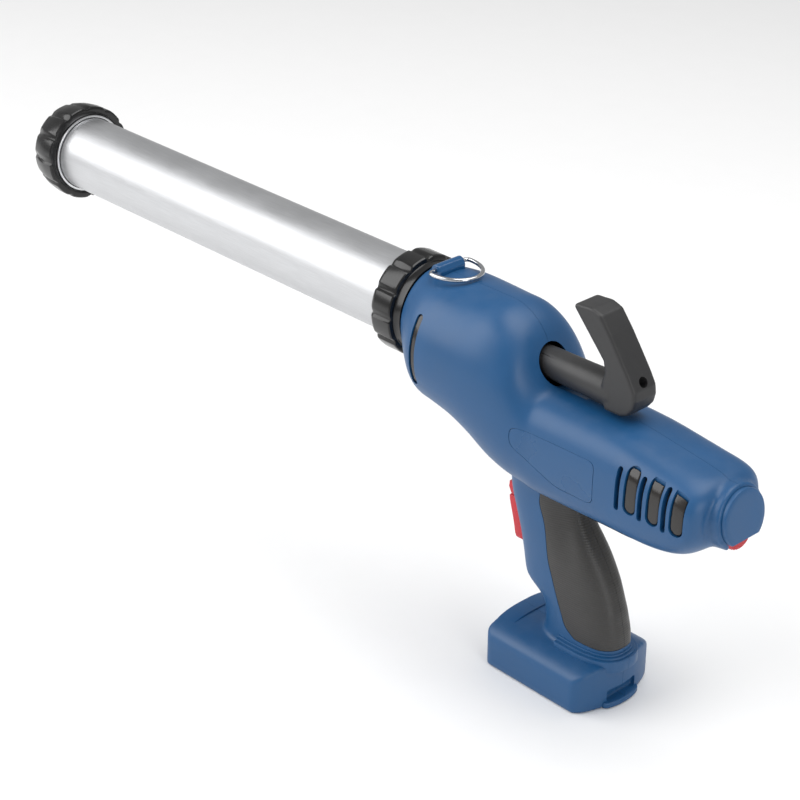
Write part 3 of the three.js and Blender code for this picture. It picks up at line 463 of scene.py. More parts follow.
foot = foot_solid("foot")
apply(foot, "BEVEL", width=3 * MM, segments=4, limit_method="ANGLE", angle_limit=math.radians(40))
combine(housing, foot, "UNION")

# %% Make the neck behind the motor
CAP_TILT = math.radians(8.3)
CAP_CENTRE = Vector((143.3, 0, 181.9))
CAP_AXIS = Vector((math.cos(CAP_TILT), 0, math.sin(CAP_TILT)))


def leaning_bar(name, radius, start, end, sides=64):
    """A bar along the leaning rear end; start and end are measured from the cap's face."""
    return bar(name, radius, CAP_CENTRE + CAP_AXIS * start, CAP_CENTRE + CAP_AXIS * end, sides)


combine(housing, leaning_bar("neck", 22.4, -24, -3.0), "UNION")

# %% Melt the parts together
VOXEL = 1.35 * MM
apply(housing, "REMESH", mode="VOXEL", voxel_size=VOXEL)
apply(housing, "SMOOTH", factor=0.6, iterations=11)
print("melted housing:", len(housing.data.polygons), "faces")
whole_form = twin(housing, "whole_form")

# %% [markdown]
# ## What is cut out of the housing
# The moulding is hollow: it holds the gears and the motor, and it is open at the bell's mouth, round
# the rod, at the trigger, under the foot for the battery, and at the vents. Each opening is cut with a
# plain tool shape. A solid block would look the same from one side only.


# %% Hollow it and cut the openings
def shrunk(name, depth):
    """The melted form with its skin moved inwards by `depth` millimetres."""
    copy = twin(whole_form, name)
    return apply(copy, "DISPLACE", mid_level=0, strength=-depth * MM)


combine(housing, body_solid("belly", inset=4, rows_per_gap=2, sides=40), "DIFFERENCE")
combine(housing, handle_solid("handle_space", inset=5.2, from_z=23, sides=32), "DIFFERENCE")
combine(housing, leaning_bar("neck_space", 19.6, -40, 6), "DIFFERENCE")
combine(housing, bar("mouth", 30, (-150, 0, 228), (-115, 0, 228), 96), "DIFFERENCE")
combine(housing, bar("rod_hole", 13.4, (-70, 0, 228), (14, 0, 228), 72), "DIFFERENCE")
combine(housing, block("trigger_window", (-70, -8, 88), (-22, 8, 134), 1.5), "DIFFERENCE")
combine(housing, block("bay_top", (-60, -28, 5), (36, 28, 18), 1), "DIFFERENCE")
combine(housing, block("bay_mouth", (-60, -24, -20), (36, 24, 8), 1), "DIFFERENCE")
combine(housing, block("dial_window", (128.2, -13, 150), (160, 13, 167), 0.8), "DIFFERENCE")

# %% Cut the vents and the pockets of the pads
SIDES = (("left", -1), ("right", 1))
VENT_PAD_X = [76.2 + 18.4 * k for k in range(3)]
VENT_PAD_WIDTH = 8.7
VENT_SLOT_X = [68.3 + 18.8 * k for k in range(3)]
VENT_SLOT_WIDTH = 3.8


def upright_slot(name, x0, x1, z0, z1, side, inner, outer=60):
    """A cutter with round ends, standing in the side wall."""
    radius = (x1 - x0) / 2
    low, high = (inner, outer) if side > 0 else (-outer, -inner)
    outline = []
    for k in range(13):
        angle = math.pi * k / 12
        outline.append(((x0 + x1) / 2 + radius * math.cos(angle), z1 - radius + radius * math.sin(angle)))
    for k in range(13):
        angle = math.pi + math.pi * k / 12
        outline.append(((x0 + x1) / 2 + radius * math.cos(angle), z0 + radius + radius * math.sin(angle)))
    return side_prism(name, outline, low, high)


for _, side in SIDES:
    for x in VENT_SLOT_X:
        slot = upright_slot("vent", x, x + VENT_SLOT_WIDTH, 170.5, 200.5, side, 20)
        combine(housing, slot, "DIFFERENCE")
    for x in VENT_PAD_X:
        pocket = upright_slot("pocket", x - 0.8, x + VENT_PAD_WIDTH + 0.8, 171.2, 203.8, side, 29)
        combine(housing, pocket, "DIFFERENCE")
    slot = upright_slot("bell_slot", -107.5, -102, 195, 245, side, 20)
    combine(housing, slot, "DIFFERENCE")
print("housing with openings:", len(housing.data.polygons), "faces")

# %% [markdown]
# ## Rubber, panel and ridges let into the housing
# The grip's rubber is moulded into a shallow recess, so its surface is level with the plastic and only a
# fine dark line shows between them. Cutting the same outline from the same form twice, once a little
# larger for the recess, gives that line all the way round. The name panel is made in the same way.

# %% Outlines of the rubber and the panel
RUBBER_EDGE = [
    (-9, 147), (-10.5, 134), (-5, 118), (-1, 95), (3.5, 82), (8, 70), (13, 58), (17.5, 49), (26, 43),
]
RUBBER_DEPTH = 2.5
SEAM = 0.35
PANEL = [(-20, 195), (50, 195), (50, 165), (18, 165), (-20, 181)]


def rubber_outline(grow):
    edge = [(x - grow, z - grow) for x, z in smooth_rows(RUBBER_EDGE, 4)]
    edge[0] = (edge[0][0], 147)
    return edge + [(45, 42 - grow), (75, 44 - grow), (75, 147)]


def rounded(outline, radius, steps=6):
    """An outline whose corners are replaced by arcs that start `radius` away from them."""
    points = []
    for k, corner in enumerate(outline):
        here = Vector(corner)
        before = (Vector(outline[k - 1]) - here).normalized() * radius
        after = (Vector(outline[(k + 1) % len(outline)]) - here).normalized() * radius
        for j in range(steps + 1):
            t = j / steps
            points.append(tuple(here + before * (1 - t) ** 2 + after * t ** 2))
    return points


def grown(outline, by):
    """An outline moved outwards from its middle by a distance, for a rough margin."""
    middle = sum((Vector(p) for p in outline), Vector((0, 0))) / len(outline)
    return [tuple(Vector(p) + (Vector(p) - middle).normalized() * by * 1.2) for p in outline]


def rubber_region(name, grow, depth):
    region = side_prism(name, rubber_outline(grow), -40, 40)
    combine(region, handle_solid("handle_core", inset=depth), "DIFFERENCE")
    return combine(region, body_solid("body_core"), "DIFFERENCE")


# %% Cut the rubber, and its recess
grip = twin(whole_form, "grip")
combine(grip, rubber_region("grip_region", 0, RUBBER_DEPTH), "INTERSECT")
combine(housing, rubber_region("grip_recess", SEAM, RUBBER_DEPTH + 0.4), "DIFFERENCE")

# %% Cut the name panel, and its recess
PANEL_DEPTH = 0.7


def panel_region(name, side, grow, depth):
    low, high = (15, 60) if side > 0 else (-60, -15)
    region = side_prism(name, rounded(grown(PANEL, grow) if grow else PANEL, 6), low, high)
    return combine(region, shrunk("panel_core", depth), "DIFFERENCE")


panels = {}
for word, side in SIDES:
    panel = twin(whole_form, "name_panel_" + word)
    combine(panel, panel_region("panel_region", side, 0, PANEL_DEPTH), "INTERSECT")
    combine(housing, panel_region("panel_recess", side, SEAM, PANEL_DEPTH + 0.3), "DIFFERENCE")
    panels[word] = panel

# %% Add the ridges round the bottom of the grip, the front arch and the lip
RIDGE_STEP = 2.0


def ridge(name, grow, low, high):
    """A collar round the handle's foot, a little larger than the handle, behind the palm only."""
    row = (0, -12, 55)
    ring = [Vector(p) for p in handle_ring(row, -grow, 64)]
    piece = prism(name, [p + Vector((0, 0, low * MM)) for p in ring], (0, 0, (high - low) * MM))
    apply(piece, "BEVEL", width=0.5 * MM, segments=2)
    return combine(piece, block("front_half", (-60, -60, 0), (12, 60, 80)), "DIFFERENCE")


for k in range(3):
    combine(housing, ridge("ridge", 1.0 + RIDGE_STEP * k, 28, 39.6 - 1.5 * k), "UNION")

arch = prism("front_arch", [
    (FOOT_FRONT * MM + 0.0004, y * 0.83 * MM, (z + 1.1) * MM) for y, z in foot_arch()
], (14 * MM, 0, 0))
apply(arch, "BEVEL", width=0.8 * MM, segments=3, limit_method="ANGLE")
combine(arch, block("arch_floor", (-60, -60, -10), (60, 60, 19)), "DIFFERENCE")
combine(housing, arch, "UNION")

LIP = [(40, -17), (54, -17)] + [
    (54 + 5 * math.sin(math.pi * k / 12), -17 * math.cos(math.pi * k / 12)) for k in range(1, 12)
] + [(54, 17), (40, 17)]
lip = prism("lip", [(x * MM, y * MM, 0.3 * MM) for x, y in LIP], (0, 0, 4.2 * MM))
apply(lip, "BEVEL", width=0.9 * MM, segments=3, limit_method="ANGLE")
combine(housing, lip, "UNION")
combine(housing, block("lip_slot", (50.6, -14, 4.6), (64, 14, 13.5), 1.6), "DIFFERENCE")

# %% Bore the right half for its screws
SCREW_PLACES = [(-118, 184), (-112, 254), (12, 152), (-25, 27)]
for x, z in SCREW_PLACES:
    combine(housing, bar("bore", 3.4, (x, 11.7, z), (x, 60, z), 32), "DIFFERENCE")

# %% [markdown]
# ## Splitting at the seam
# The housing is moulded in two shells that meet in the middle. A bisect cuts it there, and leaving a
# hair's width between the shells draws the seam over the top, down the handle's back and over the foot.


# %% Split the housing and the rubber
def half_of(piece, name, side, gap=0.1):
    half = twin(piece, name)
    edit(half)
    bpy.ops.mesh.bisect(
        plane_co=(0, side * gap * MM, 0), plane_no=(0, side, 0), use_fill=True, clear_inner=True
    )
    leave()
    return half


shells, grips = {}, {}
for word, side in SIDES:
    shells[word] = settle(half_of(housing, "shell_" + word, side), 35)
    grips[word] = settle(half_of(grip, "grip_" + word, side), 35)
    settle(panels[word], 35)
drop(housing, grip)

# %% [markdown]
# ## Pads in the vents and the bell
# Dark rubber-like pads fill three pockets in each side and the tall slot of the bell. They are cut from
# the same form, so they follow its curve, and a small remesh rounds their edges as a mould would.


# %% Make the pads
def softened(piece, voxel, rounds):
    apply(piece, "REMESH", mode="VOXEL", voxel_size=voxel * MM)
    return apply(piece, "SMOOTH", factor=0.6, iterations=rounds)


pads = []
for word, side in SIDES:
    for k, x in enumerate(VENT_PAD_X):
        pad = upright_slot(f"side_pad_{word}_{k + 1}", x, x + VENT_PAD_WIDTH, 172, 203, side, 29.6, 45)
        combine(pad, shrunk("pad_skin", 0.9), "INTERSECT")
        pads.append(settle(softened(pad, 0.5, 8)))
    pad = upright_slot("slot_pad_" + word, -107.2, -102.3, 195.6, 244.4, side, 20)
    combine(pad, shrunk("pad_skin", 1.0), "INTERSECT")
    combine(pad, shrunk("pad_core", 3.4), "DIFFERENCE")
    pads.append(settle(softened(pad, 0.5, 4)))

# %% [markdown]
# ## Behind the vents and under the motor
# A thin dark sheet of painted shade lies just inside each wall behind its vents, so that they read as dark
# holes. It is the gap between two copies of the body, one a millimetre smaller than the other, cut to the
# length of the vents. The strip under the motor housing is cut from the melted form instead, so that it
# lies on the outer skin.

# %% Make the sheets of painted shade behind the vents
SHADE_SHEET_X, SHADE_SHEET_Z = (62, 128), (168, 204)
shade_sheets = []
for word, side in SIDES:
    near, far = sorted((side * 14, side * 40))
    shade_sheet = block("dust_screen_" + word, (SHADE_SHEET_X[0], near, SHADE_SHEET_Z[0]), (SHADE_SHEET_X[1], far, SHADE_SHEET_Z[1]))
    combine(shade_sheet, body_solid("screen_skin", inset=4.2, rows_per_gap=2, sides=40), "INTERSECT")
    combine(shade_sheet, body_solid("screen_core", inset=5.2, rows_per_gap=2, sides=40), "DIFFERENCE")
    shade_sheets.append(settle(shade_sheet))

# %% Make the rubber strip under the motor
STRIP = [(34, 138), (36, 145.5), (46, 148.5), (58, 149.5), (70, 148.5), (80, 145.5), (82, 138)]
under_strip = twin(whole_form, "under_strip")
apply(under_strip, "DISPLACE", mid_level=0, strength=0.3 * MM)
combine(under_strip, side_prism("strip_region", STRIP, -40, 40), "INTERSECT")
combine(under_strip, shrunk("strip_core", 0.4), "DIFFERENCE")
settle(under_strip)

# %% [markdown]
# ## The tube and its threaded ends
# The tube is drawn aluminium, so it is one turned profile. Both threaded rings have twelve lobes to grip
# them by. Each ring is a loft whose section runs round the outside and back through the bore, with
# its radius dipping between the lobes like the teeth of a ratchet.

# %% Make the tube and the sleeve
tube = turned("tube", [
    (-556, 27.6), (-556, 28.6), (-555.6, 29), (-400, 29), (-260, 29),
    (-132.4, 29), (-132, 28.6), (-132, 27.5),
], steps=128)
sleeve = turned("sleeve", [
    (-555.9, 29.7), (-555.9, 31.4), (-532, 31.4), (-531.3, 31.2), (-531, 30.6), (-531, 29.7),
], steps=128)
settle(tube)
settle(sleeve)

# %% Make the lobed rings
LOBES = 12
LOBE_POINTS = 20
STEEP = 0.09
FLAT_END = 0.72


def dip(angle):
    """How deep the dip between lobes is at an angle: a steep flank, a flat lobe, a long slope."""
    t = (angle * LOBES / (2 * math.pi)) % 1
    if t < STEEP:
        return 0.5 + 0.5 * math.cos(math.pi * t / STEEP)
    if t < FLAT_END:
        return 0
    return 0.5 - 0.5 * math.cos(math.pi * (t - FLAT_END) / (1 - FLAT_END))


def lobed_ring(name, section):
    """section: [x, radius, depth of the dips] right round the ring's section."""
    sides = LOBES * LOBE_POINTS
    rings = []
    for x, radius, depth in section:
        ring = []
        for k in range(sides):
            angle = 2 * math.pi * k / sides
            r = (radius - depth * dip(angle)) * MM
            ring.append((x * MM, r * math.cos(angle), AXIS_Z + r * math.sin(angle)))
        rings.append(ring)
    return bridge_ends(loft(name, rings), sides)


def bridge_ends(piece, sides):
    """Opens the two end faces of a loft and bridges them, so that a ring's section closes."""
    edit(piece, "FACE")
    bpy.ops.mesh.select_all(action="DESELECT")
    leave()
    for face in piece.data.polygons:
        face.select = len(face.vertices) == sides
    bpy.ops.object.mode_set(mode="EDIT")
    bpy.ops.mesh.select_mode(type="FACE")
    bpy.ops.mesh.delete(type="ONLY_FACE")
    bpy.ops.mesh.select_mode(type="EDGE")
    bpy.ops.mesh.select_non_manifold()
    bpy.ops.mesh.bridge_edge_loops()
    bpy.ops.mesh.select_all(action="SELECT")
    bpy.ops.mesh.normals_make_consistent(inside=False)
    leave()
    return piece


nose_ring = lobed_ring("nose_ring", [
    (-560, 23.3, 0), (-560, 31, 0), (-559.4, 32.6, 0.5), (-557.5, 34.6, 1.2), (-549, 37, 1.3),
    (-541, 38, 1.4), (-533.4, 38, 1.4), (-532.4, 37.4, 1.3), (-532, 36.4, 1.2), (-532, 33.4, 0),
    (-532.8, 31.8, 0), (-556, 31.8, 0), (-556.4, 31.4, 0), (-556.4, 23.6, 0), (-557, 23, 0), (-559.6, 23, 0),
])
clamp_ring = lobed_ring("clamp_ring", [
    (-157, 29.8, 0), (-157, 33.4, 0.6), (-156.4, 35.2, 1.4), (-154.8, 36.5, 1.4), (-153, 36.8, 1.4),
    (-138.2, 36.8, 1.4), (-137.2, 36.2, 1.3), (-136.7, 35, 1.0), (-136.4, 33.4, 0), (-135.6, 33, 0),
    (-130.6, 33, 0), (-130.6, 29.8, 0),
])
settle(nose_ring, 30)
settle(clamp_ring, 30)

# %% [markdown]
# ## The hook that draws the rod back
# A glass-filled nylon hook sits on the rod's rear end. Its blade is a prism and its stem is a turned
# bar. They are united and lightly melted, so the stem flows into the blade and each edge is soft.

# %% Make the hook
HOOK = [
    (4.5, 281), (7, 283), (20, 284), (28, 281.5), (37, 270.5), (46, 258), (54, 246.5), (58.5, 239),
    (59.5, 232.5),
    (58, 226), (54, 221), (48, 218.3), (34, 218), (32, 228), (31, 238), (33, 244), (31.5, 251.5),
]
HOOK_HALF_WIDTH = 11
hook = side_prism("hook", HOOK, -HOOK_HALF_WIDTH, HOOK_HALF_WIDTH)
apply(hook, "BEVEL", width=1.8 * MM, segments=3, limit_method="ANGLE", angle_limit=math.radians(50))
stem = turned("stem", [(-60, 9.6), (-24, 10.4), (10, 11), (28, 11.5), (38, 11.5), (38, 0.4), (-60, 0.4)], 64)
combine(hook, stem, "UNION")
combine(hook, bar("stem_core", 0.6, (-58, 0, 228), (37, 0, 228), 16), "UNION")
softened(hook, 0.75, 7)
combine(hook, bar("hook_hole", 3.6, (65, 0, 248), (42.5, 0, 233.2), 40), "DIFFERENCE")
settle(hook, 35)

# %% [markdown]
# ## D-ring and its lug
# A strap clips to a steel wire ring on top of the bell. The wire is a circle carried along the ring's
# path, and the lug is a barrel on a block, cut to the bell's curve below.

# %% Make the ring and the lug
LUG_X, LUG_Z, LUG_R = -118, 264.3, 4.2
WIRE_R, RING_HALF, RING_REACH = 1.5, 18, 27


def curve_point(points, t):
    """A point on a Bezier curve of any degree."""
    while len(points) > 1:
        points = [a.lerp(b, t) for a, b in zip(points, points[1:])]
    return points[0]


def ring_path():
    """The wire's path round the D, as vectors in millimetres."""
    at = lambda x, y: Vector((LUG_X + x, y, LUG_Z))
    half, corner = RING_HALF, 4
    path = [at(0, y) for y in (0, -5, -10)]
    path += [curve_point([at(0, -half + corner), at(0, -half), at(corner, -half)], k / 8) for k in range(9)]
    bow = [at(corner, -half), at(RING_REACH * 1.25, -half), at(RING_REACH * 1.25, half), at(corner, half)]
    path += [curve_point(bow, k / 40) for k in range(1, 41)]
    path += [curve_point([at(corner, half), at(0, half), at(0, half - corner)], k / 8) for k in range(1, 9)]
    return path + [at(0, y) for y in (10, 5)]


def swept(name, path, radius, sides=16):
    """A closed wire along a flat path."""
    rings = []
    count = len(path)
    for k in range(count):
        along = (path[(k + 1) % count] - path[k - 1]).normalized()
        out = along.cross(Vector((0, 0, 1)))
        ring = []
        for j in range(sides):
            angle = 2 * math.pi * j / sides
            spoke = out * math.cos(angle) + Vector((0, 0, 1)) * math.sin(angle)
            ring.append((path[k] + spoke * radius) * MM)
        rings.append(ring)
    return bridge_ends(loft(name, rings), sides)


strap_ring = settle(swept("strap_ring", ring_path(), WIRE_R))
lug = block("lug", (LUG_X - 5.2, -11.9, 256), (LUG_X + 5.2, 11.9, LUG_Z + 1), 1.2)
combine(lug, bar("lug_barrel", LUG_R, (LUG_X, -12, LUG_Z), (LUG_X, 12, LUG_Z), 40), "UNION")
softened(lug, 0.55, 6)
combine(lug, bar("lug_bore", WIRE_R + 0.15, (LUG_X, -20, LUG_Z), (LUG_X, 20, LUG_Z), 24), "DIFFERENCE")
lug_clear = twin(whole_form, "lug_clear")
apply(lug_clear, "DISPLACE", mid_level=0, strength=0.1 * MM)
combine(lug, lug_clear, "DIFFERENCE")
settle(lug, 35)

# %% [markdown]
# ## Trigger, lock, cap and dial
# The red trigger has a hollow for the finger. The lock above it is a small rocker. At the
# rear, a round blue cap covers a red thumb wheel, whose ribs show below the cap's straight edge.

# %% Make the trigger and its lock
TRIGGER = [
    (-48.4, 120), (-47.9, 116), (-46.3, 110), (-44.6, 104), (-43.2, 98), (-42, 92), (-40.6, 89.2),
    (-31, 89.2), (-31, 120),
]
LOCK = [(-46.6, 121.2), (-48.9, 126), (-48.4, 130.8), (-36, 130.8), (-36, 121.2)]


def pressed(piece, width):
    sharp = math.radians(35)
    return apply(piece, "BEVEL", width=width * MM, segments=3, limit_method="ANGLE", angle_limit=sharp)


finger_lever = pressed(side_prism("finger_lever", TRIGGER, -7.4, 7.4), 1.2)
combine(finger_lever, block("plunger", (-31.5, -3.5, 100), (-17, 3.5, 110), 0.4), "UNION")
safety_key = pressed(side_prism("safety_key", LOCK, -7.4, 7.4), 0.9)
settle(finger_lever)
settle(safety_key)


# %% Make the cap and the thumb wheel
def leaned(piece):
    """Moves a piece made at the origin, along X, onto the leaning rear end."""
    pick(piece)
    piece.rotation_euler = (0, -CAP_TILT, 0)
    piece.location = CAP_CENTRE * MM
    bpy.ops.object.transform_apply(location=True, rotation=True, scale=True)
    return piece


end_cap = turned("end_cap", [
    (-3.4, 0), (-3.4, 19.4), (-0.9, 19.4), (-0.25, 19.1), (0, 18.5), (0, 15), (0, 8), (0, 0),
], steps=96, height=0, solid=False)
leaned(end_cap)
combine(end_cap, block("cap_notch", (120, -30, 140), (160, 30, 168)), "DIFFERENCE")
settle(end_cap, 30)

WHEEL_RIBS = 32
WHEEL_DROP = 9.5


def wheel_ring(x, radius, depth):
    ring = []
    for k in range(WHEEL_RIBS * 6):
        angle = 2 * math.pi * k / (WHEEL_RIBS * 6)
        r = (radius - depth * (0.5 - 0.5 * math.cos(angle * WHEEL_RIBS))) * MM
        ring.append((x * MM, r * math.cos(angle), r * math.sin(angle)))
    return ring


thumb_wheel = loft("thumb_wheel", [
    wheel_ring(-10.4, 12.2, 0), wheel_ring(-9.8, 12.9, 0.5),
    wheel_ring(-4.6, 13, 0.5), wheel_ring(-4.0, 12.3, 0),
])
leaned(thumb_wheel)
edit(thumb_wheel)
bpy.ops.transform.translate(value=(0, 0, -WHEEL_DROP * MM))
leave()
settle(thumb_wheel, 30)

# %% [markdown]
# ## Surface detail shared by the finishes
# Moulded and drawn surfaces are never quite even. Three small node groups give the detail: a fine grain,
# paler sharp edges, partly wear and partly a painted highlight, and settled dust. Each finish below mixes
# them in its own measure.

# %% Build the shared node groups


def new_group(name, inputs, outputs):
    """A shader node group with float inputs and outputs; inputs are (name, default)."""
    group = bpy.data.node_groups.new(name, "ShaderNodeTree")
    for label, default in inputs:
        socket = group.interface.new_socket(label, in_out="INPUT", socket_type="NodeSocketFloat")
        socket.default_value = default
    for label in outputs:
        group.interface.new_socket(label, in_out="OUTPUT", socket_type="NodeSocketFloat")
    return group, group.nodes.new("NodeGroupInput"), group.nodes.new("NodeGroupOutput")


def put(tree, kind, **values):
    """Adds a node and sets its unlinked inputs by name, with _ for a space."""
    node = tree.nodes.new(kind)
    for key, value in values.items():
        node.inputs[key.replace("_", " ")].default_value = value
    return node


def calc(tree, how, first, second=0.5, clamp=False):
    """A math node; each argument is a number or an output socket."""
    node = tree.nodes.new("ShaderNodeMath")
    node.operation = how
    node.use_clamp = clamp
    for socket, value in zip(node.inputs, (first, second)):
        if isinstance(value, (int, float)):
            socket.default_value = value
        else:
            tree.links.new(value, socket)
    return node.outputs[0]


def ramp(tree, value, low, high, to_low=0.0, to_high=1.0):
    """Maps a value from one range to another, and stops at the ends."""
    node = put(tree, "ShaderNodeMapRange", From_Min=low, From_Max=high, To_Min=to_low, To_Max=to_high)
    tree.links.new(value, node.inputs["Value"])
    return node.outputs["Result"]


def place(tree, stretch=(1, 1, 1)):
    """Object coordinates, stretched."""
    source = tree.nodes.new("ShaderNodeTexCoord")
    mapping = put(tree, "ShaderNodeMapping", Scale=stretch)
    tree.links.new(source.outputs["Object"], mapping.inputs["Vector"])
    return mapping.outputs["Vector"]


def noise(tree, where, scale, detail=3.0):
    node = put(tree, "ShaderNodeTexNoise", Scale=scale, Detail=detail)
    tree.links.new(where, node.inputs["Vector"])
    return node.outputs["Fac"]


grain, grain_in, grain_out = new_group("grain", [("Size", 1500.0)], ["Height", "Patches"])
where = place(grain)
fine = put(grain, "ShaderNodeTexNoise", Detail=2.0)
grain.links.new(where, fine.inputs["Vector"])
grain.links.new(grain_in.outputs["Size"], fine.inputs["Scale"])
grain.links.new(fine.outputs["Fac"], grain_out.inputs["Height"])
grain.links.new(noise(grain, where, 28, 4), grain_out.inputs["Patches"])

# Sharp edges, found by pointiness and broken up by noise, turn paler: partly wear, partly a painted
# highlight on convex edges.
wear_and_sheen, wear_and_sheen_in, wear_and_sheen_out = new_group("edge_wear_and_highlight", [("Amount", 0.3)], ["Mask"])
shape = wear_and_sheen.nodes.new("ShaderNodeNewGeometry")
edges = ramp(wear_and_sheen, shape.outputs["Pointiness"], 0.54, 0.66)
broken_edge_patches = ramp(wear_and_sheen, noise(wear_and_sheen, place(wear_and_sheen), 260, 5), 0.42, 0.62)
worn_and_lit = calc(wear_and_sheen, "MULTIPLY", calc(wear_and_sheen, "MULTIPLY", edges, broken_edge_patches), wear_and_sheen_in.outputs["Amount"])
wear_and_sheen.links.new(worn_and_lit, wear_and_sheen_out.inputs["Mask"])

dust, dust_in, dust_out = new_group("dust", [("Amount", 0.1)], ["Mask"])
facing = dust.nodes.new("ShaderNodeNewGeometry")
split = dust.nodes.new("ShaderNodeSeparateXYZ")
dust.links.new(facing.outputs["Normal"], split.inputs["Vector"])
upward = ramp(dust, split.outputs["Z"], 0.2, 1.0)
specks = ramp(dust, noise(dust, place(dust), 90, 6), 0.4, 0.7)
settled = calc(dust, "MULTIPLY", calc(dust, "MULTIPLY", upward, specks), dust_in.outputs["Amount"])
dust.links.new(settled, dust_out.inputs["Mask"])
print("shared groups:", [g.name for g in (grain, wear_and_sheen, dust)])


# %% Helpers for a finish
def colour(red, green, blue):
    """A linear colour from the 0 to 255 values that a paint chart gives."""
    channel = lambda v: v / 12.92 if v <= 0.04045 else ((v + 0.055) / 1.055) ** 2.4
    return tuple(channel(v / 255) for v in (red, green, blue)) + (1,)


def mixed(tree, factor, first, second):
    """A mix of two colours; each is a tuple or an output socket."""
    node = tree.nodes.new("ShaderNodeMix")
    node.data_type = "RGBA"
    tree.links.new(factor, node.inputs[0])
    for socket, value in ((node.inputs[6], first), (node.inputs[7], second)):
        if isinstance(value, tuple):
            socket.default_value = value
        else:
            tree.links.new(value, socket)
    return node.outputs[2]


def shared(tree, group, **values):
    node = tree.nodes.new("ShaderNodeGroup")
    node.node_tree = group
    for key, value in values.items():
        node.inputs[key].default_value = value
    return node


class Finish:
    """A material with its shader, its grain and its tree at hand."""

    def __init__(self, name, grain_size=1500.0, **sockets):
        self.material = bpy.data.materials.new(name)
        self.material.use_nodes = True
        self.tree = self.material.node_tree
        self.shader = self.tree.nodes["Principled BSDF"]
        self.grain = shared(self.tree, grain, Size=grain_size)
        for key, value in sockets.items():
            self.shader.inputs[key.replace("_", " ")].default_value = value

    def feed(self, socket, value):
        self.tree.links.new(value, self.shader.inputs[socket])

    def bump(self, height, distance, strength=1.0, before=None):
        """Adds a bump whose full height is `distance` millimetres."""
        node = put(self.tree, "ShaderNodeBump", Strength=strength, Distance=distance * MM)
        self.tree.links.new(height, node.inputs["Height"])
        if before:
            self.tree.links.new(before, node.inputs["Normal"])
        self.feed("Normal", node.outputs["Normal"])
        return node.outputs["Normal"]


def plastic(name, base, pale, rough, grain_mm=0.5, relief=0.02, worn_and_lit=0.25, dusty=0.06, **sockets):
    """Moulded plastic: patchy colour, paler edges that are partly wear and partly a painted highlight, a
    little dust, and a spark-eroded grain.
    """
    finish = Finish(name, grain_size=1 / (grain_mm * MM), **sockets)
    tree = finish.tree
    patches = ramp(tree, finish.grain.outputs["Patches"], 0.3, 0.7)
    paint = mixed(tree, patches, base, tuple(v * 1.08 for v in base[:3]) + (1,))
    # The edges take the pale colour: partly wear, partly a painted highlight.
    paint = mixed(tree, shared(tree, wear_and_sheen, Amount=worn_and_lit).outputs["Mask"], paint, pale)
    paint = mixed(tree, shared(tree, dust, Amount=dusty).outputs["Mask"], paint, colour(200, 198, 192))
    finish.feed("Base Color", paint)
    gloss = ramp(tree, finish.grain.outputs["Patches"], 0.3, 0.7, rough - 0.04, rough + 0.05)
    finish.feed("Roughness", gloss)
    finish.last = finish.bump(finish.grain.outputs["Height"], relief)
    return finish


# %% [markdown]
# ## The blue moulding
# The housing is glass-filled nylon, coloured through. Its surface is satin: the mould was spark eroded,
# which leaves a grain about half a millimetre across, and the pack of fibres near the skin makes the
# gloss uneven. Its edges are painted a little paler, partly for wear from handling and partly as a painted
# highlight.

# %% Blue plastic
BLUE = colour(21, 76, 122)
BLUE_PALE = colour(84, 136, 172)
blue = plastic("blue_moulding", BLUE, BLUE_PALE, 0.4, grain_mm=0.45, relief=0.01, worn_and_lit=0.2, dusty=0.015)
blue_gloss = plastic("blue_gloss", BLUE, BLUE_PALE, 0.14, grain_mm=0.45, relief=0.004, dusty=0.01)
print("finishes:", blue.material.name, blue_gloss.material.name)

# %% [markdown]
# ## The plain panel
# A maker would print a name here. This panel is left plain, so nothing on it can be taken for a mark.
# Only its outline shows, as a fine groove, with a finish a little glossier than the housing's.

# %% Panel finish
panel_finish = plastic(
    "plain_panel", BLUE, BLUE_PALE, 0.28, grain_mm=0.45, relief=0.006, worn_and_lit=0.1, dusty=0.015
)
print("finish:", panel_finish.material.name)

# %% [markdown]
# ## Rubber, nylon and red plastic
# The grip is a soft elastomer with fine ribs across it, matt because its mould was etched. The hook and
# the rings are black nylon. The controls are red acetal, which is slicker than the rest. The sheets behind
# the vents are painted shade: near black and very matt, so that a slot reads as a dark hole.

# %% Grip rubber
rubber = plastic(
    "grip_rubber", colour(50, 49, 48), colour(96, 94, 92), 0.42,
    grain_mm=0.35, relief=0.03, worn_and_lit=0.15, dusty=0.03,
)
tree = rubber.tree
ribs = put(tree, "ShaderNodeTexWave", Scale=200.0, Distortion=0.4, Detail=1.0)
ribs.bands_direction = "Z"
tree.links.new(place(tree, (1, 1, 1)), ribs.inputs["Vector"])
rubber.bump(ribs.outputs["Fac"], 0.09, 0.8, before=rubber.last)

# %% Black, dark and red plastics
black = plastic(
    "black_nylon", colour(13, 13, 14), colour(52, 52, 54), 0.2,
    grain_mm=0.8, relief=0.008, worn_and_lit=0.3, dusty=0.01,
)
hook_nylon = plastic(
    "hook_nylon", colour(42, 42, 43), colour(92, 92, 92), 0.45,
    grain_mm=0.5, relief=0.04, worn_and_lit=0.3, dusty=0.015,
)
pad_rubber = plastic(
    "pad_rubber", colour(34, 31, 29), colour(84, 78, 72), 0.18,
    grain_mm=0.6, relief=0.006, worn_and_lit=0.2, dusty=0.01,
)
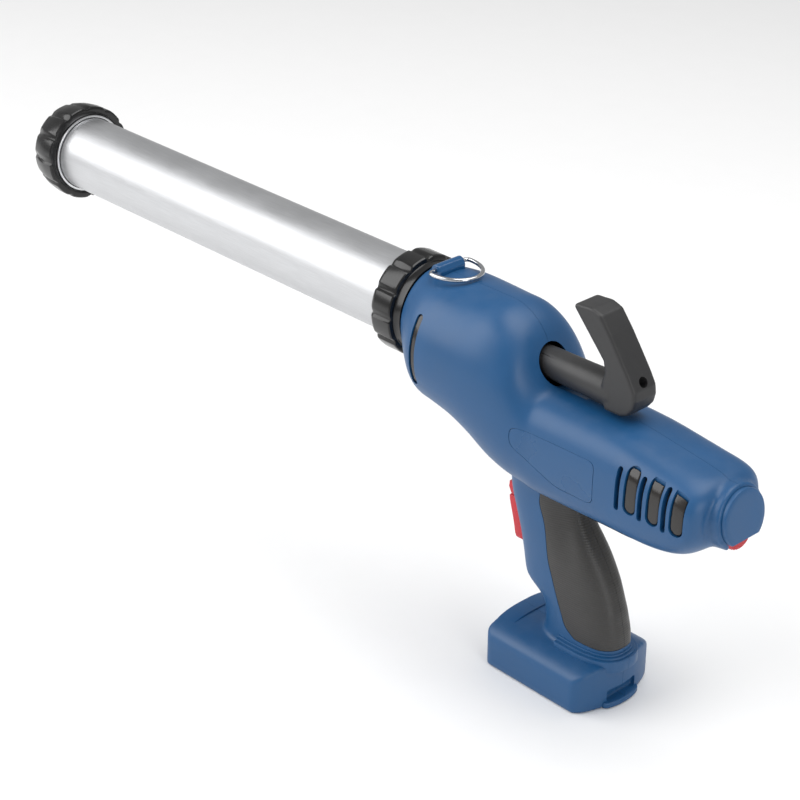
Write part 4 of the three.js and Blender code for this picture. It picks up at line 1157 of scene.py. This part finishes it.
# Painted shade: a near-black, very matt finish for the sheets behind the vents.
screen_black = plastic("screen_black", colour(9, 9, 10), colour(20, 20, 21), 0.7, grain_mm=0.4, relief=0.03)
inner_nylon = plastic("inner_nylon", colour(34, 34, 36), colour(80, 80, 82), 0.5, grain_mm=0.6, relief=0.02)
red = plastic(
    "red_acetal", colour(186, 12, 34), colour(214, 84, 92), 0.26, dusty=0.015, grain_mm=0.5, relief=0.008
)
natural = plastic(
    "natural_nylon", colour(206, 200, 184), colour(228, 224, 214), 0.4, grain_mm=0.5, relief=0.01
)

# %% [markdown]
# ## Metals
# The tube is drawn and then anodised in satin, which leaves very fine streaks along it. The wire and the
# shafts are bright steel, the gears are hardened dark steel, and the contacts are brass.


# %% Metal finishes
def metal(name, base, rough, stretch, relief=0.004, worn_and_lit=0.0, **sockets):
    """A metal with streaks: `stretch` is how many times finer they are along each axis."""
    finish = Finish(name, grain_size=2200.0, Metallic=1.0, **sockets)
    tree = finish.tree
    streaks = noise(tree, place(tree, stretch), 60, 5)
    patches = finish.grain.outputs["Patches"]
    darker = tuple(v * 0.86 for v in base[:3]) + (1,)
    tone = mixed(tree, ramp(tree, streaks, 0.3, 0.7), darker, base)
    brighter = tuple(min(1, v * 1.3) for v in base[:3]) + (1,)
    # The edges take a brighter tone: partly wear, partly a painted highlight.
    finish.feed("Base Color", mixed(tree, shared(tree, wear_and_sheen, Amount=worn_and_lit).outputs["Mask"], tone, brighter))
    rough_streaks = ramp(tree, calc(tree, "ADD", streaks, patches), 0.7, 1.3, rough - 0.05, rough + 0.06)
    finish.feed("Roughness", rough_streaks)
    first = finish.bump(finish.grain.outputs["Height"], relief)
    finish.bump(streaks, relief * 1.5, 0.6, before=first)
    return finish


anodised = metal("anodised_tube", colour(206, 207, 209), 0.44, (1, 60, 60))
rim_metal = metal("bright_rim", colour(222, 223, 225), 0.3, (60, 20, 20))
steel = metal("bright_steel", colour(200, 202, 205), 0.16, (20, 20, 20), relief=0.001)
gear_steel = metal("dark_steel", colour(92, 93, 98), 0.32, (30, 30, 8), relief=0.003, worn_and_lit=0.5)
brass = metal("brass", colour(201, 160, 84), 0.28, (20, 20, 20), relief=0.002)

# %% Circuit board
board = plastic("green_board", colour(26, 84, 52), colour(60, 130, 90), 0.35, grain_mm=0.9, relief=0.01)
tree = board.tree
tracks = put(tree, "ShaderNodeTexBrick", Scale=120.0, Mortar_Size=0.08)
tree.links.new(place(tree), tracks.inputs["Vector"])
covered = board.shader.inputs["Base Color"].links[0].from_socket
board.feed("Base Color", mixed(tree, tracks.outputs["Fac"], covered, colour(52, 122, 80)))

# %% [markdown]
# ## Dressing the pieces
# Each new piece takes one finish. The parts of the mechanical model that stay in view keep their shape,
# and get the same finishes by the slot that the model gives them.


# %% Give every new piece its finish
def dress(piece, finish):
    piece.data.materials.clear()
    piece.data.materials.append(finish.material)


for shell in shells.values():
    dress(shell, blue)
for half in grips.values():
    dress(half, rubber)
for panel in panels.values():
    dress(panel, panel_finish)
for pad in pads:
    dress(pad, pad_rubber)
dress(under_strip, pad_rubber)
# The sheets behind the vents take the near-black finish of painted shade.
for shade_sheet in shade_sheets:
    dress(shade_sheet, screen_black)
dress(tube, anodised)
dress(sleeve, rim_metal)
dress(nose_ring, black)
dress(clamp_ring, black)
dress(hook, hook_nylon)
dress(strap_ring, steel)
dress(lug, blue_gloss)
dress(finger_lever, red)
dress(safety_key, red)
dress(end_cap, blue)
dress(thumb_wheel, red)

# %% Give the kept nodes their finish
SLOT_FINISH = {
    "blue_plastic": blue, "grey_rubber": rubber, "black_plastic": inner_nylon, "red_plastic": red,
    "pale_plastic": natural, "satin_aluminium": anodised, "bright_steel": steel, "dark_steel": gear_steel,
    "brass": brass, "green_board": board,
}
kept = 0
for name, node in frame["nodes"].items():
    for slot in node.material_slots:
        word = slot.material.name.split(".")[0]
        slot.material = SLOT_FINISH[word].material if word in SLOT_FINISH else inner_nylon.material
        kept += 1
print("slots dressed on the mechanical parts:", kept)

# %% [markdown]
# ## Tying the looks to the mechanism
# Every new piece rides on the body that moves it, and stands for the rough solids it hides. When
# the rod slides back, the hook goes with it, and the shells stay.

# %% Ride on the bodies
for word, _ in SIDES:
    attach(shells[word], "tool_body")
    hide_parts("housing_" + word)
    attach(grips[word], "tool_body")
    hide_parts("grip_rubber_" + word)
    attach(panels[word], "tool_body")
    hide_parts("name_plate_" + word)
for pad in pads:
    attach(pad, "tool_body")
    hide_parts(pad.name.replace("side_pad", "vent_pad").replace("slot_pad", "bell_pad"))
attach(under_strip, "tool_body")
for shade_sheet in shade_sheets:
    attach(shade_sheet, "tool_body")

PLACES = [
    (tube, "tool_body", "cartridge_tube", "satin_aluminium"),
    (sleeve, "tool_body", "front_sleeve", "pale_plastic"),
    (nose_ring, "front_ring_body", "front_ring", "black_plastic"),
    (clamp_ring, "collar_body", "retaining_collar", "black_plastic"),
    (hook, "rod", "pull_hook", "black_plastic"),
    (strap_ring, "d_ring_body", "d_ring", "bright_steel"),
    (lug, "tool_body", "ring_lug", "blue_plastic"),
    (finger_lever, "trigger_body", "trigger", "red_plastic"),
    (safety_key, "lock_body", "lock_button", "red_plastic"),
    (end_cap, "tool_body", "rear_cap", "blue_plastic"),
    (thumb_wheel, "dial_body", "speed_dial", "red_plastic"),
]
for piece, body, node, slot_name in PLACES:
    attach(piece, body)
    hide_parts(node)
print("pieces that ride:", len(PLACES) + 7 + len(pads) + len(shade_sheets))
drop(whole_form)

# %% [markdown]
# ## Floor, light and camera
# A pale floor and a pale surround give the even light of a product studio. A large soft box overhead
# draws the long highlight on the tube, and a second one from the left models the housing.

# %% Floor
bpy.ops.mesh.primitive_plane_add(size=12, location=(0, 0, -0.0002))
floor = named("floor")
pick(floor)
bpy.ops.object.transform_apply(location=True, rotation=False, scale=False)
pale = Finish("pale_floor", grain_size=300.0, Roughness=0.6)
pale_tone = mixed(pale.tree, pale.grain.outputs["Patches"], (0.93, 0.93, 0.93, 1), (0.95, 0.95, 0.95, 1))
pale.feed("Base Color", pale_tone)
dress(floor, pale)
floor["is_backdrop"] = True

# %% Light
world = bpy.data.worlds.new("surround")
bpy.context.scene.world = world
world.use_nodes = True
world.node_tree.nodes["Background"].inputs["Color"].default_value = (1, 1, 1, 1)
world.node_tree.nodes["Background"].inputs["Strength"].default_value = 0.42


def soft_box(name, location, aim, size, power):
    """A square area light at a place in metres, turned towards a point."""
    turn = (Vector(location) - Vector(aim)).to_track_quat("Z", "Y").to_euler()
    bpy.ops.object.light_add(type="AREA", location=location, rotation=turn)
    lamp = bpy.context.object
    lamp.name = name
    lamp.data.size = size
    lamp.data.energy = power
    return lamp


MIDDLE = (-0.2, 0, 0.18)
soft_box("key", (-1.5, -1.5, 1.5), MIDDLE, 2.2, 46)
soft_box("overhead", (0.3, 0.4, 2.2), MIDDLE, 1.8, 30)
soft_box("rear_fill", (1.7, -0.5, 0.7), MIDDLE, 0.7, 7)

# %% Camera
CAMERA_PLACE = (0.79587, -0.90471, 0.83950)
CAMERA_RIGHT = Vector((0.68414, 0.72934, 0.00388))
CAMERA_UP = Vector((-0.34228, 0.31636, 0.88474))
LENS = 94.09


def look_through(place_, right, up_):
    """A camera at a place, with its right and up directions."""
    back = right.cross(up_)
    turn = Vector((0, 0, 0)).to_track_quat("Z", "Y").to_matrix()
    for row in range(3):
        turn[row] = (right[row], up_[row], back[row])
    bpy.ops.object.camera_add(location=place_, rotation=turn.to_euler())
    camera = bpy.context.object
    camera.name = "camera"
    camera.data.lens = LENS
    camera.data.clip_start = 0.01
    return camera


bpy.context.scene.camera = look_through(CAMERA_PLACE, CAMERA_RIGHT, CAMERA_UP)
bpy.context.scene.view_settings.view_transform = "Standard"

# %% Print the sizes and finish
visual_box = [list(corner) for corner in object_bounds()]
for word, box in (("mechanical", cad_box), ("visual", visual_box)):
    print(word, "box:", [[round(value, 4) for value in corner] for corner in box])
